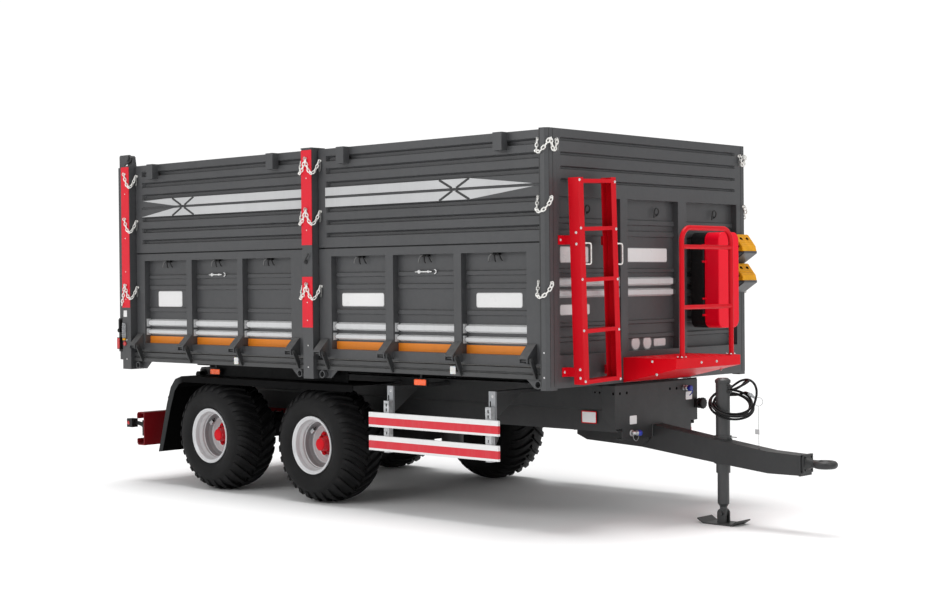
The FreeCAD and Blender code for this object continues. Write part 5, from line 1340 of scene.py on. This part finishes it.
wind(92.0, -262.0, 17)
hose_pts += [(88.0, 124.0, 889.0), (122.0, 112.0, 906.0), (146.0, 86.0, 926.0)]
for k in range(15):
    a = math.radians(48.0 - 340.0 * k / 14)
    t = math.radians(30.0)
    x, y = 74.0 * math.cos(a), 74.0 * math.sin(a)
    hose_pts.append((112.0 + x * math.cos(t), y, 922.0 + x * math.sin(t) + 24.0 * k / 14))
hose_pts += [(176.0, 54.0, 968.0), (202.0, 30.0, 957.0), (220.0, 0.0, 930.0), (224.0, -30.0, 893.0), (216.0, -54.0, 852.0)]
wind(-400.0, -1356.0, 46)
hose_pts += [(128.0, 118.0, 858.0), (154.0, 98.0, 873.0), (169.0, 65.0, 879.0), (178.0, 30.0, 872.0)]
hose = spline("oil_hose", [along(*p) for p in hose_pts], 0.008, "hose", "chassis")
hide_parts("hose_lead", "hose_coil")


def centre_length(pts):
    cu = bpy.data.curves.new("probe", "CURVE")
    cu.dimensions = "3D"
    sp = cu.splines.new("NURBS")
    sp.points.add(len(pts) - 1)
    for p, q in zip(sp.points, pts):
        p.co = (*q, 1.0)
    sp.order_u = 3
    sp.use_endpoint_u = True
    o = bpy.data.objects.new("probe", cu)
    SCENE.collection.objects.link(o)
    bpy.context.view_layer.update()
    me = bpy.data.meshes.new_from_object(o)
    total = sum((me.vertices[e.vertices[0]].co - me.vertices[e.vertices[1]].co).length for e in me.edges)
    line = [v.co.copy() for v in me.vertices]
    bpy.data.objects.remove(o)
    return total, line


hose_length, hose_line = centre_length([along(*p) for p in hose_pts])

LANYARD = [(198.0, -250.0, 530.0), (201.0, -223.0, 571.0), (207.0, -190.0, 613.0), (212.0, -154.0, 653.0), (219.0, -115.0, 691.0),
           (225.0, -75.0, 727.0), (232.0, -36.0, 763.0), (238.0, 0.0, 790.0)]
lany = spline("lanyard_wire", [along(*p) for p in LANYARD], 0.0014, "wire", "chassis", 3)
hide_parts("lanyard")
lany_length, _ = centre_length([along(*p) for p in LANYARD])
ringm = Mesh()
c = along(240.0, 0.0, 819.0)
ax = (along(240.0, 0.0, 819.0) - along(220.0, 0.0, 819.0)).normalized()
up = Vector((0, 0, 1))
ringm.tube([c + (ax * math.cos(t) + up * math.sin(t)) * 0.0285 for t in [2 * math.pi * i / 32 for i in range(32)]], 0.0014, 7, True)
wring = ringm.object("lanyard_ring", "wire", "chassis")
tag = Mesh()
tp = along(207.0, -190.0, 613.0).lerp(along(212.0, -154.0, 653.0), 0.45)
d = (along(212.0, -154.0, 653.0) - along(207.0, -190.0, 613.0)).normalized()
sd = Vector((math.cos(a0), math.sin(a0), 0)) if (a0 := 0.745) else None
nn = d.cross(sd).normalized()
sd = nn.cross(d).normalized()
mt = Matrix((sd, d, nn)).transposed().to_4x4()
mt.translation = tp
tag.box((-0.024, -0.020, -0.0035), (0.004, 0.020, -0.0018), 0.0005, mt)
tag_o = tag.object("lanyard_tag", "label_grey", "chassis")

# ------------------------------------------------------------ light, floor
def area(name, at, look, size, power, colour=(1, 1, 1)):
    L = bpy.data.lights.new(name, "AREA")
    L.shape = "RECTANGLE"
    L.size, L.size_y = size
    L.energy = power
    L.color = colour
    o = bpy.data.objects.new(name, L)
    SCENE.collection.objects.link(o)
    o.location = at
    o.rotation_mode = "QUATERNION"
    o.rotation_quaternion = (Vector(look) - Vector(at)).to_track_quat("-Z", "Y")


def stage():
    me = bpy.data.meshes.new("floor")
    s = 60.0
    me.from_pydata([(-s, -s, 0), (s, -s, 0), (s, s, 0), (-s, s, 0)], [], [(0, 1, 2, 3)])
    t = Tree("floor_pale")
    t.put(t.mix(t.span(t.noise(0.6, 3.0), 0.3, 0.7), (0.90, 0.90, 0.90, 1), (0.92, 0.92, 0.92, 1)), t.bsdf.inputs["Base Color"])
    t.bsdf.inputs["Roughness"].default_value = 0.75
    t.bsdf.inputs["Specular IOR Level"].default_value = 0.2
    me.materials.append(t.mat)
    o = bpy.data.objects.new("floor", me)
    SCENE.collection.objects.link(o)
    w = bpy.data.worlds.new("studio")
    SCENE.world = w
    w.use_nodes = True
    wt = w.node_tree
    bg = wt.nodes["Background"]
    bg.inputs[0].default_value = (1.0, 1.0, 1.0, 1.0)
    ray = wt.nodes.new("ShaderNodeLightPath")
    strength = wt.nodes.new("ShaderNodeMapRange")
    wt.links.new(ray.outputs["Is Camera Ray"], strength.inputs["Value"])
    strength.inputs["To Min"].default_value = 0.53
    strength.inputs["To Max"].default_value = 1.05
    wt.links.new(strength.outputs[0], bg.inputs[1])
    sun = bpy.data.lights.new("overhead", "SUN")
    sun.energy = 2.3
    sun.angle = math.radians(30.0)
    so = bpy.data.objects.new("overhead", sun)
    SCENE.collection.objects.link(so)
    so.rotation_mode = "QUATERNION"
    so.rotation_quaternion = Vector((0.13, -0.08, -1.0)).to_track_quat("-Z", "Y")
    area("side", (-1.5, -9.0, 5.0), (-0.8, 0.0, 1.4), (8.0, 3.0), 238.0)
    area("front", (9.5, -1.0, 5.5), (1.5, 0.0, 1.4), (4.0, 3.0), 140.0)


stage()
SCENE.view_settings.view_transform = "Standard"
SCENE.view_settings.look = "None"
SCENE.view_settings.exposure = 0.0
SCENE.view_settings.gamma = 1.0
